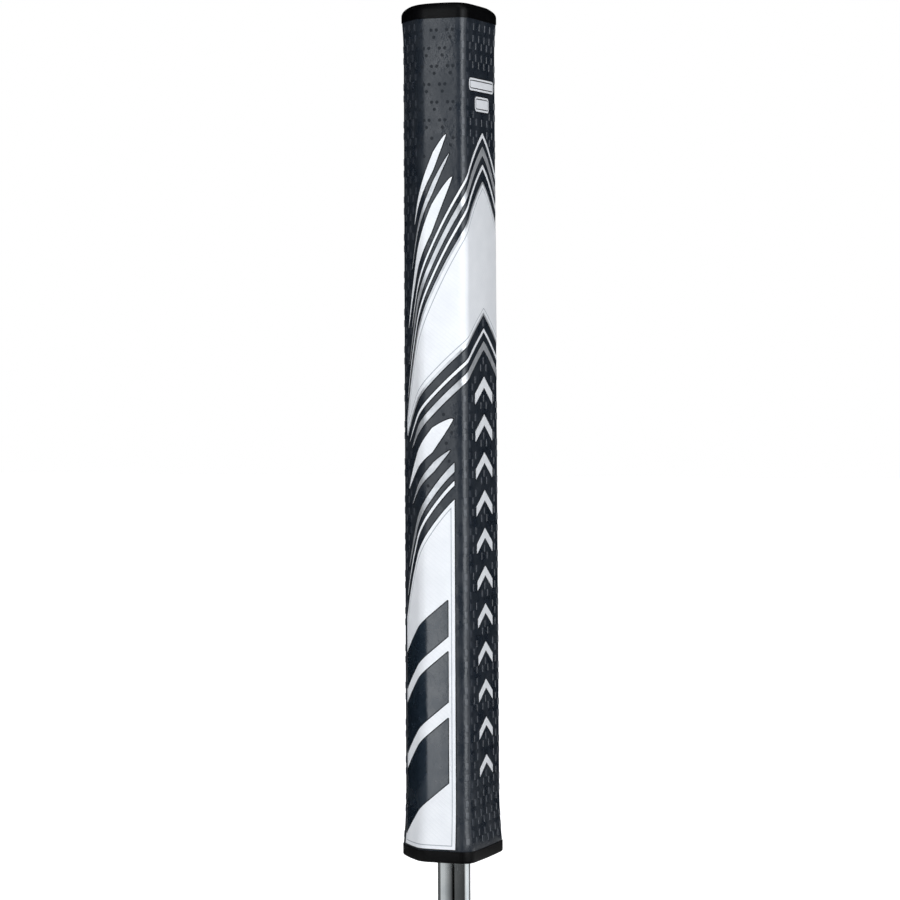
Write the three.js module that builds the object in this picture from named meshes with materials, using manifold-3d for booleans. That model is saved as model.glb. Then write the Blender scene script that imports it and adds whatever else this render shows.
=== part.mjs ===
// An oversize putter grip on the upper end of its shaft, in millimetres.
//
// The grip is a five-sided foam core, taped on to the shaft, in a wrapped skin on a felt backing. A cap
// closes the mouth, where the shaft comes out. Another closes the butt, and a threaded insert in it takes
// a screw-in plug with a seal.
// +Z runs up the shaft towards the butt, -Y is the wide flat front under the thumbs, and the origin is
// on the shaft's axis at its cut end.

import * as THREE from "three";
import { mergeVertices } from "three/addons/utils/BufferGeometryUtils.js";
import Module from "manifold-3d";

const wasm = await Module();
wasm.setup();

// ---------------------------------------------------------------- driving dimensions, in millimetres

const GRIP_LENGTH = 266.7; // from the mouth cap's lower face to the butt cap's crown
const STUB_LENGTH = 30; // bare shaft below the mouth

// The skin's outside at the mouth, before its flare: corners before they are rounded.
const FRONT_WIDTH = 32.3; // the flat front, corner to corner
const SHOULDER_WIDTH = 30.1; // between the corners where the sides turn into the back faces
const FRONT_DEPTH = 10.6; // from the axis to the flat front
const SHOULDER_DEPTH = 5.5; // from the axis back to the shoulders
const RIDGE_DEPTH = 16.6; // from the axis back to the ridge
const FRONT_RADIUS = 3;
const SHOULDER_RADIUS = 6.5;
const RIDGE_RADIUS = 5.3;
const FRONT_CROWN = 0.5; // how far the middle of each face bulges, before its crown is rounded
const SIDE_CROWN = 0.3;
const BACK_CROWN = 0.6;

const BUTT_INSET = 0.55; // how much smaller the grip is all round at the butt
const MOUTH_FLARE = 0.8; // the skin turns out to meet the caps
const MOUTH_FLARE_LENGTH = 17;
const BUTT_FLARE = 0.5;
const BUTT_FLARE_LENGTH = 11;

const SKIN_THICKNESS = 0.7;
const BACKING_THICKNESS = 0.5; // the felt that the skin is cast on
const SEAM_WIDTH = 0.4; // the slit along the ridge where the wrap's two edges meet
const GLUE_LINE = 0.15; // between one layer of the wrap and the next, and under the wrap

const CAP_OVERHANG = 0.2; // the caps stand this far proud of the skin
const MOUTH_CAP_HEIGHT = 3.7;
const MOUTH_CAP_ROUNDING = 1.2;
const MOUTH_SPIGOT_LENGTH = 8;
const MOUTH_SPIGOT_WALL = 2.2;
const CORE_SHOULDER = 1; // the tape starts this far past the mouth's spigot
const BUTT_CAP_HEIGHT = 4.9;
const BUTT_CAP_ROUNDING = 2.6;
const BUTT_SPIGOT_LENGTH = 13;
const BUTT_SPIGOT_WALL = 1.5;

const SHAFT_BUTT_RADIUS = 7.365; // a 0.580 inch butt
const SHAFT_MOUTH_RADIUS = 5.15;
const SHAFT_WALL = 0.5;
const TAPE_THICKNESS = 0.25;
const TAPE_SLIT = 1.2; // the tape is one strip folded round, and this is the gap between its edges

const THREAD_RADIUS = 5; // the plug's thread, at its crest
const THREAD_DEPTH = 0.8;
const THREAD_PITCH = 2;
const THREAD_TURNS = 4;
const THREAD_CREST_SHARE = 0.22; // the thread's width over its pitch, at the crest and at the root
const THREAD_ROOT_SHARE = 0.55;
const INSERT_WALL = 0.9; // left in the insert outside the thread's groove
const INSERT_LENGTH = 11; // its barrel, below the flange
const FLANGE_THICKNESS = 1.2;
const FLANGE_LIP = 0.8; // how far the flange, and the plug's head over it, reach past the barrel
const HEAD_THICKNESS = 1.8;
const HEAD_SINK = 0.2; // the head lies this far under the crown
const SHANK_LENGTH = 10;
const SHANK_WALL = 1.6; // the shank is hollow from below
const SHANK_FLOOR = 1.4; // left between that hollow and the coin slot
const SLOT_LENGTH = 8.4;
const SLOT_WIDTH = 1.7;
const SLOT_DEPTH = 1;
const SEAL_RADIUS = 0.55; // the seal's own section

const SLIP = 0.1; // between pieces pushed together by hand
const FIT = 0.2; // between a cap and what it goes into or round
const THREAD_CLEARANCE = 0.3;
const SEAT = 0.05; // under the seal
const PAST = 1; // how far a cutter runs past what it cuts
const WELD = 1e-4; // points nearer than this are one

const CORNER_STEPS = 6; // the steps round a corner; even, so that one falls on the ridge
const CROWN_STEPS = 2;
const FLARE_STEPS = 4;
const ROUND_STEPS = 5;
const ROUND_SEGMENTS = 40;
const THREAD_SEGMENTS = 18; // a turn
const FADE_SEGMENTS = 4; // over which the plug's thread runs out at each end
const SEAL_SEGMENTS = 30;
const SEAL_SIDES = 8;

// ---------------------------------------------------------------- heights, from the shaft's cut end

const mouthZ = STUB_LENGTH;
const skinBottom = mouthZ + MOUTH_CAP_HEIGHT;
const mouthSpigotTop = skinBottom + MOUTH_SPIGOT_LENGTH;
const crownZ = mouthZ + GRIP_LENGTH;
const skinTop = crownZ - BUTT_CAP_HEIGHT;
const buttSpigotBottom = skinTop - BUTT_SPIGOT_LENGTH;
const shaftTop = buttSpigotBottom - FIT;
const headTop = crownZ - HEAD_SINK;
const headBottom = headTop - HEAD_THICKNESS;
const flangeTop = headBottom - THREAD_CLEARANCE;
const flangeBottom = flangeTop - FLANGE_THICKNESS;

// ---------------------------------------------------------------- radii that follow from others

const threadRoot = THREAD_RADIUS - THREAD_DEPTH;
const insertBore = threadRoot + THREAD_CLEARANCE;
const insertRadius = THREAD_RADIUS + THREAD_CLEARANCE + INSERT_WALL;
const headRadius = insertRadius + FLANGE_LIP;
const sealRing = (THREAD_RADIUS + THREAD_CLEARANCE + headRadius) / 2;
const portRadius = insertRadius + SLIP; // the hole down the butt cap's spigot
const recessRadius = headRadius + THREAD_CLEARANCE;
const shaftRoom = TAPE_THICKNESS + 2 * SLIP; // between the shaft and the core's bore
const buttSpigotRadius = Math.max(portRadius + BUTT_SPIGOT_WALL, SHAFT_BUTT_RADIUS + shaftRoom - FIT);
const mouthHole = SHAFT_MOUTH_RADIUS + FIT;
const mouthSpigotRadius = mouthHole + MOUTH_SPIGOT_WALL;

// The shaft's outer radius: parallel up to the mouth's spigot, then an even taper to the butt.
function shaftRadius(z) {
  const share = THREE.MathUtils.clamp((z - mouthSpigotTop) / (shaftTop - mouthSpigotTop), 0, 1);
  return THREE.MathUtils.lerp(SHAFT_MOUTH_RADIUS, SHAFT_BUTT_RADIUS, share);
}

// ---------------------------------------------------------------- solids

// A geometry as a solid for cutting and joining, turned so that its faces point outwards.
function solid(geometry) {
  const bare = new THREE.BufferGeometry().setIndex(geometry.index);
  bare.setAttribute("position", geometry.getAttribute("position"));
  const merged = mergeVertices(bare, WELD);
  const vertProperties = Float32Array.from(merged.getAttribute("position").array);
  const triVerts = Uint32Array.from(merged.index.array);
  const made = () => new wasm.Manifold(new wasm.Mesh({ numProp: 3, vertProperties, triVerts }));
  if (made().volume() < 0) triVerts.reverse();
  return made();
}

// A named mesh of a solid.
function piece(name, made, colour, roughness, metalness = 0) {
  const mesh = made.getMesh();
  const geometry = new THREE.BufferGeometry();
  geometry.setAttribute("position", new THREE.BufferAttribute(mesh.vertProperties, 3));
  geometry.setIndex(new THREE.BufferAttribute(mesh.triVerts, 1));
  geometry.computeVertexNormals();
  const material = new THREE.MeshStandardMaterial({ color: colour, roughness, metalness });
  const result = new THREE.Mesh(geometry, material);
  result.name = name;
  return result;
}

// A solid turned round the shaft's axis from a closed profile of [radius, height] points.
function turned(profile) {
  const closed = [...profile, profile[0]].map(([radius, z]) => new THREE.Vector2(radius, z));
  return solid(new THREE.LatheGeometry(closed, ROUND_SEGMENTS).rotateX(Math.PI / 2));
}

// A ring or tube between two radii and two heights.
function tube(inner, outer, bottom, top) {
  return turned([[inner, bottom], [outer, bottom], [outer, top], [inner, top]]);
}

// A round plug on the axis.
function disc(radius, bottom, top) {
  const height = top - bottom;
  const geometry = new THREE.CylinderGeometry(radius, radius, height, ROUND_SEGMENTS);
  return solid(geometry.rotateX(Math.PI / 2).translate(0, 0, bottom + height / 2));
}

// Triangles of the walls between rings of points, each ring closed on itself.
function walls(rings) {
  const count = rings[0].length;
  const index = [];
  for (let r = 0; r + 1 < rings.length; r++)
    for (let i = 0; i < count; i++) {
      const j = (i + 1) % count;
      const [low, high] = [r * count, (r + 1) * count];
      index.push(low + i, low + j, high + j, low + i, high + j, high + i);
    }
  return index;
}

// A geometry of those rings' points and the triangles given.
function ringGeometry(rings, index, extra = []) {
  const points = [...rings.flat(), ...extra];
  return new THREE.BufferGeometry().setFromPoints(points).setIndex(index);
}

// A solid lofted through rings of points, closed by a fan at each end.
function loft(rings) {
  const count = rings[0].length;
  const index = walls(rings);
  const last = (rings.length - 1) * count;
  const middles = [rings[0], rings.at(-1)].map((ring) => {
    const sum = ring.reduce((total, point) => total.add(point), new THREE.Vector3());
    return sum.divideScalar(count);
  });
  const [bottom, top] = [rings.length * count, rings.length * count + 1];
  for (let i = 0; i < count; i++) {
    const j = (i + 1) % count;
    index.push(bottom, j, i, top, last + i, last + j);
  }
  return solid(ringGeometry(rings, index, middles));
}

// A sheet wrapped into a slit tube: at each level, points along its outside and the same along its inside.
function wrap(levels) {
  const count = levels[0].outer.length;
  const rings = levels.map(({ outer, inner }) => [...outer, ...inner.toReversed()]);
  const index = walls(rings);
  const last = (rings.length - 1) * 2 * count;
  for (let i = 0; i + 1 < count; i++) {
    const [a, b] = [i, i + 1];
    const [c, d] = [2 * count - 2 - i, 2 * count - 1 - i];
    index.push(a, d, b, b, d, c);
    index.push(last + a, last + b, last + d, last + b, last + c, last + d);
  }
  return solid(ringGeometry(rings, index));
}

// ---------------------------------------------------------------- the grip's five-sided section

// The section's corners in order from the ridge, anticlockwise from above, each with its rounding.
// A crown is one more corner in the middle of a face, rounded over half of that face.
function sectionCorners() {
  const corner = (x, y, radius) => ({ at: new THREE.Vector2(x, y), radius, steps: CORNER_STEPS });
  const shoulder = SHOULDER_WIDTH / 2;
  const front = FRONT_WIDTH / 2;
  const faces = [
    [corner(0, RIDGE_DEPTH, RIDGE_RADIUS), BACK_CROWN],
    [corner(-shoulder, SHOULDER_DEPTH, SHOULDER_RADIUS), SIDE_CROWN],
    [corner(-front, -FRONT_DEPTH, FRONT_RADIUS), FRONT_CROWN],
    [corner(front, -FRONT_DEPTH, FRONT_RADIUS), SIDE_CROWN],
    [corner(shoulder, SHOULDER_DEPTH, SHOULDER_RADIUS), BACK_CROWN],
  ];
  return faces.flatMap(([start, crown], i) => {
    const end = faces[(i + 1) % faces.length][0];
    const along = end.at.clone().sub(start.at);
    const outward = new THREE.Vector2(along.y, -along.x).normalize();
    const middle = start.at.clone().lerp(end.at, 0.5).addScaledVector(outward, crown);
    const slope = Math.atan2(crown, along.length() / 2);
    const radius = along.length() / 4 / Math.tan(slope);
    return [start, { at: middle, radius, steps: CROWN_STEPS }];
  });
}

// Each corner's rounding as an arc: its centre, radius, first angle, turn and steps.
function sectionArcs() {
  const corners = sectionCorners();
  return corners.map(({ at, radius, steps }, i) => {
    const before = at.clone().sub(corners.at(i - 1).at);
    const after = corners[(i + 1) % corners.length].at.clone().sub(at);
    const start = Math.atan2(-before.x, before.y);
    const turn = THREE.MathUtils.euclideanModulo(after.angle() - before.angle(), 2 * Math.PI);
    const middle = start + turn / 2;
    const reach = radius / Math.cos(turn / 2);
    const inwards = new THREE.Vector2(-Math.cos(middle), -Math.sin(middle));
    return { centre: at.clone().addScaledVector(inwards, reach), radius, start, turn, steps };
  });
}

const arcs = sectionArcs();

// The section's points at a height, offset outwards. The first point is on the ridge. With a slit, the
// outline is open there, and its two ends stand half the slit to either side.
function outline(offset, z, slit = 0) {
  const points = arcs.flatMap(({ centre, radius, start, turn, steps }) =>
    Array.from({ length: steps + 1 }, (_, k) => {
      const angle = start + (turn * k) / steps;
      const reach = radius + offset;
      return new THREE.Vector3(centre.x + reach * Math.cos(angle), centre.y + reach * Math.sin(angle), z);
    }),
  );
  const apex = CORNER_STEPS / 2;
  const ordered = [...points.slice(apex), ...points.slice(0, apex)];
  if (!slit) return ordered;
  const [first, last] = [ordered[0].clone(), ordered[0].clone()];
  first.x = -slit / 2;
  last.x = slit / 2;
  return [first, ...ordered.slice(1), last];
}

// How far the skin's outside stands off the mouth's section at a height.
function skinOffset(z) {
  const inset = (BUTT_INSET * (z - skinBottom)) / (skinTop - skinBottom);
  const nearMouth = Math.max(0, 1 - (z - skinBottom) / MOUTH_FLARE_LENGTH);
  const nearButt = Math.max(0, 1 - (skinTop - z) / BUTT_FLARE_LENGTH);
  return MOUTH_FLARE * nearMouth ** 2 + BUTT_FLARE * nearButt ** 2 - inset;
}

// The heights at which the skin and the core have rings: close together in the flares.
function skinLevels() {
  const steps = Array.from({ length: FLARE_STEPS + 1 }, (_, i) => i / FLARE_STEPS);
  const lower = steps.map((share) => skinBottom + share * MOUTH_FLARE_LENGTH);
  const upper = steps.map((share) => skinTop - (1 - share) * BUTT_FLARE_LENGTH);
  return [...lower, ...upper];
}

// The rings of a cap with one rounded edge. The height rises from its flat joint to its rounded face.
function capRings(jointZ, faceZ, offset, rounding) {
  const way = Math.sign(faceZ - jointZ);
  const rings = [outline(offset, jointZ)];
  for (let k = 0; k <= ROUND_STEPS; k++) {
    const angle = (Math.PI / 2) * (k / ROUND_STEPS);
    const inwards = rounding * (1 - Math.cos(angle));
    const z = faceZ - way * rounding * (1 - Math.sin(angle));
    rings.push(outline(offset - inwards, z));
  }
  return way > 0 ? rings : rings.reverse();
}

// ---------------------------------------------------------------- the pieces

// One layer of the wrap, between two depths under the skin's face: a sheet whose edges meet on the ridge.
function wrapLayer(outerDepth, innerDepth) {
  const levels = skinLevels().map((z) => ({
    outer: outline(skinOffset(z) - outerDepth, z, SEAM_WIDTH),
    inner: outline(skinOffset(z) - innerDepth, z, SEAM_WIDTH),
  }));
  return wrap(levels);
}

const backingDepth = SKIN_THICKNESS + GLUE_LINE;
const coreDepth = backingDepth + BACKING_THICKNESS + GLUE_LINE;

// The printed polyurethane that the hands hold.
function outerSkin() {
  return piece("outer_skin", wrapLayer(0, SKIN_THICKNESS), 0x34373c, 0.55);
}

// The felt under it.
function skinBacking() {
  return piece("skin_backing", wrapLayer(backingDepth, backingDepth + BACKING_THICKNESS), 0x6a6a6c, 0.95);
}

// The foam body, bored for the taped shaft and pocketed for the caps' spigots.
function foamCore() {
  const rings = skinLevels().map((z) => outline(skinOffset(z) - coreDepth, z));
  const mouthPocketTop = mouthSpigotTop + FIT;
  const bore = turned([
    [0, skinBottom - PAST],
    [mouthSpigotRadius + FIT, skinBottom - PAST],
    [mouthSpigotRadius + FIT, mouthPocketTop],
    [shaftRadius(mouthPocketTop) + shaftRoom, mouthPocketTop],
    [SHAFT_BUTT_RADIUS + shaftRoom, shaftTop],
    [buttSpigotRadius + FIT, shaftTop],
    [buttSpigotRadius + FIT, skinTop + PAST],
    [0, skinTop + PAST],
  ]);
  return piece("foam_core", loft(rings).subtract(bore), 0x2a2a2c, 0.95);
}

// The mouth's cap: a flange under the skin and core, and a spigot up into the core's pocket.
function mouthCap() {
  const offset = skinOffset(skinBottom) + CAP_OVERHANG;
  const flange = loft(capRings(skinBottom, mouthZ, offset, MOUTH_CAP_ROUNDING));
  const spigot = disc(mouthSpigotRadius, skinBottom - PAST, mouthSpigotTop);
  const hole = disc(mouthHole, mouthZ - PAST, mouthSpigotTop + PAST);
  return piece("mouth_cap", flange.add(spigot).subtract(hole), 0x0c0c0d, 0.5);
}

// The butt's cap: a rounded flange, a spigot down into the core's bore, and a recess for the port.
function buttCap() {
  const offset = skinOffset(skinTop) + CAP_OVERHANG;
  const flange = loft(capRings(skinTop, crownZ, offset, BUTT_CAP_ROUNDING));
  const spigot = disc(buttSpigotRadius, buttSpigotBottom, skinTop + PAST);
  const hole = disc(portRadius, buttSpigotBottom - PAST, crownZ);
  const recess = disc(recessRadius, flangeBottom, crownZ + PAST);
  return piece("butt_cap", flange.add(spigot).subtract(hole).subtract(recess), 0x0c0c0d, 0.5);
}

// The steel shaft's upper end, a tube that widens from the mouth to the butt.
function shaft() {
  const outer = [0, mouthSpigotTop, shaftTop].map((z) => [shaftRadius(z), z]);
  const inner = outer.map(([radius, z]) => [radius - SHAFT_WALL, z]).reverse();
  return piece("shaft", turned([...outer, ...inner]), 0xc4c7ca, 0.15, 1);
}

// The double-sided tape that holds the core on the shaft, folded round it lengthwise.
function gripTape() {
  const arcAt = (z, radius) => {
    const half = TAPE_SLIT / 2 / radius;
    return Array.from({ length: ROUND_SEGMENTS + 1 }, (_, k) => {
      const angle = Math.PI / 2 + half + ((2 * Math.PI - 2 * half) * k) / ROUND_SEGMENTS;
      return new THREE.Vector3(radius * Math.cos(angle), radius * Math.sin(angle), z);
    });
  };
  const levels = [mouthSpigotTop + CORE_SHOULDER, shaftTop - SLIP].map((z) => {
    const inside = shaftRadius(z) + SLIP;
    return { outer: arcAt(z, inside + TAPE_THICKNESS), inner: arcAt(z, inside) };
  });
  return piece("grip_tape", wrap(levels), 0xd9c9a0, 0.9);
}

// A right-hand thread's ridge that starts at a height and runs up a number of turns. The insert's groove
// is the same ridge grown by its clearance. The plug's runs out into the shank at both ends.
function threadRidge(bottom, turns, grow, fades) {
  const total = turns * THREAD_SEGMENTS;
  const root = threadRoot - PAST / 2;
  const crest = THREAD_RADIUS + grow;
  const halfWidth = (radius) => {
    const share = THREE.MathUtils.lerp(THREAD_CREST_SHARE, THREAD_ROOT_SHARE, (crest - radius) / THREAD_DEPTH);
    return (THREAD_PITCH * share) / 2 + grow;
  };
  const rings = Array.from({ length: total + 1 }, (_, k) => {
    const angle = (2 * Math.PI * k) / THREAD_SEGMENTS;
    const height = bottom + (THREAD_PITCH * k) / THREAD_SEGMENTS;
    const rise = fades ? Math.min(1, Math.min(k, total - k) / FADE_SEGMENTS) : 1;
    const tip = THREE.MathUtils.lerp(threadRoot - SLIP, crest, rise);
    const section = [
      [root, -halfWidth(root)],
      [tip, -halfWidth(tip)],
      [tip, halfWidth(tip)],
      [root, halfWidth(root)],
    ];
    const [cos, sin] = [Math.cos(angle), Math.sin(angle)];
    return section.map(([radius, dz]) => new THREE.Vector3(radius * cos, radius * sin, height + dz));
  });
  return loft(rings);
}

const shankBottom = headBottom - SHANK_LENGTH;
const threadBottom = shankBottom + (THREAD_PITCH * THREAD_ROOT_SHARE) / 2;

// The threaded insert: a barrel in the butt cap's spigot, hung on a flange in the cap's recess.
function portInsert() {
  const barrelBottom = flangeBottom - INSERT_LENGTH;
  const barrel = tube(insertBore, insertRadius, barrelBottom, flangeTop);
  const flange = tube(insertBore, headRadius, flangeBottom + SLIP, flangeTop);
  const turnsBelow = Math.ceil((threadBottom - barrelBottom) / THREAD_PITCH) + 1;
  const turnsAbove = Math.ceil((flangeTop - threadBottom) / THREAD_PITCH) + 1;
  const grooveBottom = threadBottom - turnsBelow * THREAD_PITCH;
  const groove = threadRidge(grooveBottom, turnsBelow + turnsAbove, THREAD_CLEARANCE, false);
  return piece("port_insert", barrel.add(flange).subtract(groove), 0xb4b7ba, 0.35, 1);
}

// The plug: a slotted head over a hollow threaded shank, with a groove under the head for its seal.
function portPlug() {
  const head = disc(headRadius, headBottom, headTop);
  const shank = disc(threadRoot, shankBottom, headBottom + PAST / 2);
  const ridge = threadRidge(threadBottom, THREAD_TURNS, 0, true);
  const slot = new THREE.BoxGeometry(SLOT_LENGTH, SLOT_WIDTH, 2 * SLOT_DEPTH).translate(0, 0, headTop);
  const hollow = disc(threadRoot - SHANK_WALL, shankBottom - PAST, headTop - SLOT_DEPTH - SHANK_FLOOR);
  const grooveHalf = SEAL_RADIUS + SLIP;
  const grooveTop = flangeTop + SEAT + 2 * SEAL_RADIUS + SLIP;
  const groove = tube(sealRing - grooveHalf, sealRing + grooveHalf, headBottom - PAST, grooveTop);
  const made = head.add(shank).add(ridge).subtract(solid(slot)).subtract(hollow).subtract(groove);
  return piece("port_plug", made, 0x17181a, 0.45);
}

// The plug's seal, a ring of round section between the head and the insert's flange.
function plugSeal() {
  const ring = new THREE.TorusGeometry(sealRing, SEAL_RADIUS, SEAL_SIDES, SEAL_SEGMENTS);
  return piece("plug_seal", solid(ring.translate(0, 0, flangeTop + SEAT + SEAL_RADIUS)), 0x101010, 0.6);
}

const grip = new THREE.Group();
grip.add(shaft(), gripTape(), foamCore(), skinBacking(), outerSkin(), mouthCap(), buttCap());
grip.add(portInsert(), portPlug(), plugSeal());

export default grip;
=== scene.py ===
"""The looks of an oversize putter grip on the upper end of its shaft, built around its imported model.

The wrap's treads, dimples, foil and prints are drawn flat, in millimetres, on the grip's unrolled face, and
then laid on its five-sided section. A flat point is (round, height, proud). Round is the way round the
section from the middle of the flat front, positive towards +X. Height is the frame's own Z. Proud is how
far the point stands off the skin.
"""

from __future__ import annotations

import logging
import math
from contextlib import contextmanager
from dataclasses import dataclass, field
from enum import Enum
from functools import partial
from typing import Any, Callable, Iterator, Mapping, Sequence

import bpy
import numpy as np
from mathutils import Matrix, Vector

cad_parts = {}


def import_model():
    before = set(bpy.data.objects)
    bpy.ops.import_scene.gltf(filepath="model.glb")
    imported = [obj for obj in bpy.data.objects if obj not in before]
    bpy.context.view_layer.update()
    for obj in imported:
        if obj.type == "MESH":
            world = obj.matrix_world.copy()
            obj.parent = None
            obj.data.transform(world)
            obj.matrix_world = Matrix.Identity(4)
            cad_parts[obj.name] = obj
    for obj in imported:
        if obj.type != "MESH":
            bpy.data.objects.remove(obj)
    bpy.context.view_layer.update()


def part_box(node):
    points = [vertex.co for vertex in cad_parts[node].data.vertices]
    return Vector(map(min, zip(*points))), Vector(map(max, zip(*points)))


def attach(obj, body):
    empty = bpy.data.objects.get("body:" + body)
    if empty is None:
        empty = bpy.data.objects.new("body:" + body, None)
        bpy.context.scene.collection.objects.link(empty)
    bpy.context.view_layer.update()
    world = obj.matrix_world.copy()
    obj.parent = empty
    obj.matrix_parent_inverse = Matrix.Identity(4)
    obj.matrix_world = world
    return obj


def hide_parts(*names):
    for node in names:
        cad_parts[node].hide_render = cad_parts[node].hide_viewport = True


log = logging.getLogger("grip")

MM = 0.001
LAYOUT = "layout"  # the UV map that holds the flat layout
LAYOUT_UNIT = 100.0  # millimetres to one unit of that map
WELD = 1e-6  # points nearer than this are one, in metres

Piece = bpy.types.Object
Node = bpy.types.Node
Socket = bpy.types.NodeSocket
Tree = bpy.types.NodeTree
Adder = Callable[..., Node]
Scale = tuple[float, float, float]
Pairs = Sequence[tuple[float, float]]
Array = np.ndarray
Edge = Callable[[Array], Array]


class Body(Enum):
    """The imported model's bodies."""

    HANDLE = "handle"
    SEAL = "seal"
    PLUG = "plug"


class Pick(Enum):
    """What edit mode selects: points, edges or faces."""

    POINTS = (True, False, False)
    EDGES = (False, True, False)
    FACES = (False, False, True)


class Cut(Enum):
    """How one solid takes up another."""

    AWAY = "DIFFERENCE"
    TOGETHER = "UNION"


# ------------------------------ Blender's tools


def deselect() -> None:
    """Leaves nothing selected and edit mode closed."""
    if bpy.context.object is not None and bpy.context.object.mode != "OBJECT":
        bpy.ops.object.mode_set(mode="OBJECT")
    bpy.ops.object.select_all(action="DESELECT")


def take(piece: Piece) -> None:
    """Selects one piece alone and makes it active."""
    deselect()
    piece.select_set(True)
    bpy.context.view_layer.objects.active = piece


@contextmanager
def editing(piece: Piece) -> Iterator[None]:
    """Opens a piece in edit mode, and closes it again.

    Args:
        piece: the piece.

    Yields:
        Nothing, while edit mode is open.
    """
    take(piece)
    bpy.ops.object.mode_set(mode="EDIT")
    yield
    bpy.ops.object.mode_set(mode="OBJECT")


def points_of(piece: Piece) -> Array:
    """Reads a mesh's points.

    Args:
        piece: the mesh.

    Returns:
        Its points as rows of three numbers.
    """
    flat = np.empty(len(piece.data.vertices) * 3)
    piece.data.vertices.foreach_get("co", flat)
    return flat.reshape(-1, 3)


def move_points(piece: Piece, points: Array) -> None:
    """Gives a mesh's points new places."""
    piece.data.vertices.foreach_set("co", np.ascontiguousarray(points, float).ravel())
    piece.data.update()


def clear_picks(piece: Piece, kind: Pick) -> None:
    """Unselects a whole mesh in object mode.

    Args:
        piece: the mesh.
        kind: what edit mode selects from then on.
    """
    mesh = piece.data
    for group in (mesh.vertices, mesh.edges, mesh.polygons):
        group.foreach_set("select", np.zeros(len(group), bool))
    bpy.context.tool_settings.mesh_select_mode = kind.value


def pick_faces(piece: Piece, wanted: Callable[[Vector], bool]) -> None:
    """Selects faces before edit mode opens.

    Args:
        piece: the mesh.
        wanted: the test on a face's middle.
    """
    clear_picks(piece, Pick.FACES)
    for face in piece.data.polygons:
        face.select = wanted(face.center)


def pick_points(piece: Piece, wanted: Array) -> None:
    """Selects the points that a row of truths picks, before edit mode opens."""
    clear_picks(piece, Pick.POINTS)
    piece.data.vertices.foreach_set("select", np.ascontiguousarray(wanted, bool))


def apply_modifier(piece: Piece, kind: str, **settings: Any) -> None:
    """Adds a modifier and applies it.

    Args:
        piece: the mesh.
        kind: the modifier's type name.
        settings: its own properties.
    """
    take(piece)
    modifier = piece.modifiers.new(kind.lower(), kind)
    for name, value in settings.items():
        setattr(modifier, name, value)
    bpy.ops.object.modifier_apply(modifier=modifier.name)


def round_edges(piece: Piece, width: float, segments: int = 2, angle: float = 40) -> None:
    """Rounds a piece's sharp edges.

    Args:
        piece: the mesh.
        width: the rounding's width, in the mesh's own units.
        segments: its steps.
        angle: the least angle of an edge that is rounded, in degrees.
    """
    apply_modifier(
        piece,
        "BEVEL",
        width=width,
        segments=segments,
        limit_method="ANGLE",
        angle_limit=math.radians(angle),
    )


def cut(piece: Piece, cutter: Piece, how: Cut = Cut.AWAY) -> None:
    """Cuts a piece with another or joins the two, and uses the other up."""
    apply_modifier(piece, "BOOLEAN", object=cutter, operation=how.value, solver="EXACT")
    bpy.data.objects.remove(cutter)


def face_outwards(piece: Piece) -> None:
    """Merges doubles and turns a closed mesh's faces outwards.

    Args:
        piece: the mesh.
    """
    with editing(piece):
        bpy.ops.mesh.select_all(action="SELECT")
        bpy.ops.mesh.remove_doubles(threshold=WELD)
        bpy.ops.mesh.normals_make_consistent(inside=False)


def close_ends(piece: Piece) -> None:
    """Merges a rolled sheet's doubles and fills its two open ends.

    Args:
        piece: the sheet, rolled into a tube.
    """
    with editing(piece):
        bpy.ops.mesh.select_all(action="SELECT")
        bpy.ops.mesh.remove_doubles(threshold=WELD)
        bpy.ops.mesh.select_all(action="DESELECT")
        bpy.ops.mesh.select_mode(type="EDGE")
        bpy.ops.mesh.select_non_manifold()
        bpy.ops.mesh.fill_holes(sides=0)
    face_outwards(piece)


def smooth(piece: Piece, angle: float = 35) -> None:
    """Shades a piece smooth, apart from edges sharper than an angle in degrees."""
    take(piece)
    bpy.ops.object.shade_smooth_by_angle(angle=math.radians(angle))


def join(name: str, pieces: Sequence[Piece]) -> Piece:
    """Joins pieces into one.

    Args:
        name: the joined piece's name.
        pieces: what it is made of.

    Returns:
        The joined piece.
    """
    deselect()
    for piece in pieces:
        piece.select_set(True)
    bpy.context.view_layer.objects.active = pieces[0]
    bpy.ops.object.join()
    pieces[0].name = pieces[0].data.name = name
    return pieces[0]


def grid(name: str, columns: int, rows: int) -> Piece:
    """Adds a flat grid of faces, one unit wide and high about the origin.

    Args:
        name: the new piece's name.
        columns: its faces across.
        rows: its faces up.

    Returns:
        The grid.
    """
    deselect()
    bpy.ops.mesh.primitive_grid_add(x_subdivisions=columns, y_subdivisions=rows, size=1)
    piece = bpy.context.object
    piece.name = piece.data.name = name
    return piece


def heights_of(node: str) -> tuple[float, float]:
    """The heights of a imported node's two ends, in millimetres."""
    return tuple(corner.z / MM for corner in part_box(node))


def turned(name: str, profile: Pairs, segments: int) -> Piece:
    """Turns a closed profile round the shaft's axis.

    Args:
        name: the new piece's name.
        profile: (radius, height) points in millimetres, in order round the section.
        segments: the steps of the full turn.

    Returns:
        The turned piece, closed and facing outwards, in metres.
    """
    deselect()
    bpy.ops.mesh.primitive_circle_add(vertices=len(profile), radius=1, fill_type="NOTHING")
    piece = bpy.context.object
    piece.name = piece.data.name = name
    move_points(piece, np.array([(r * MM, 0.0, z * MM) for r, z in profile]))
    with editing(piece):
        bpy.ops.mesh.select_all(action="SELECT")
        bpy.ops.mesh.spin(steps=segments, angle=2 * math.pi, center=(0, 0, 0), axis=(0, 0, 1))
    face_outwards(piece)
    return piece


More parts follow.
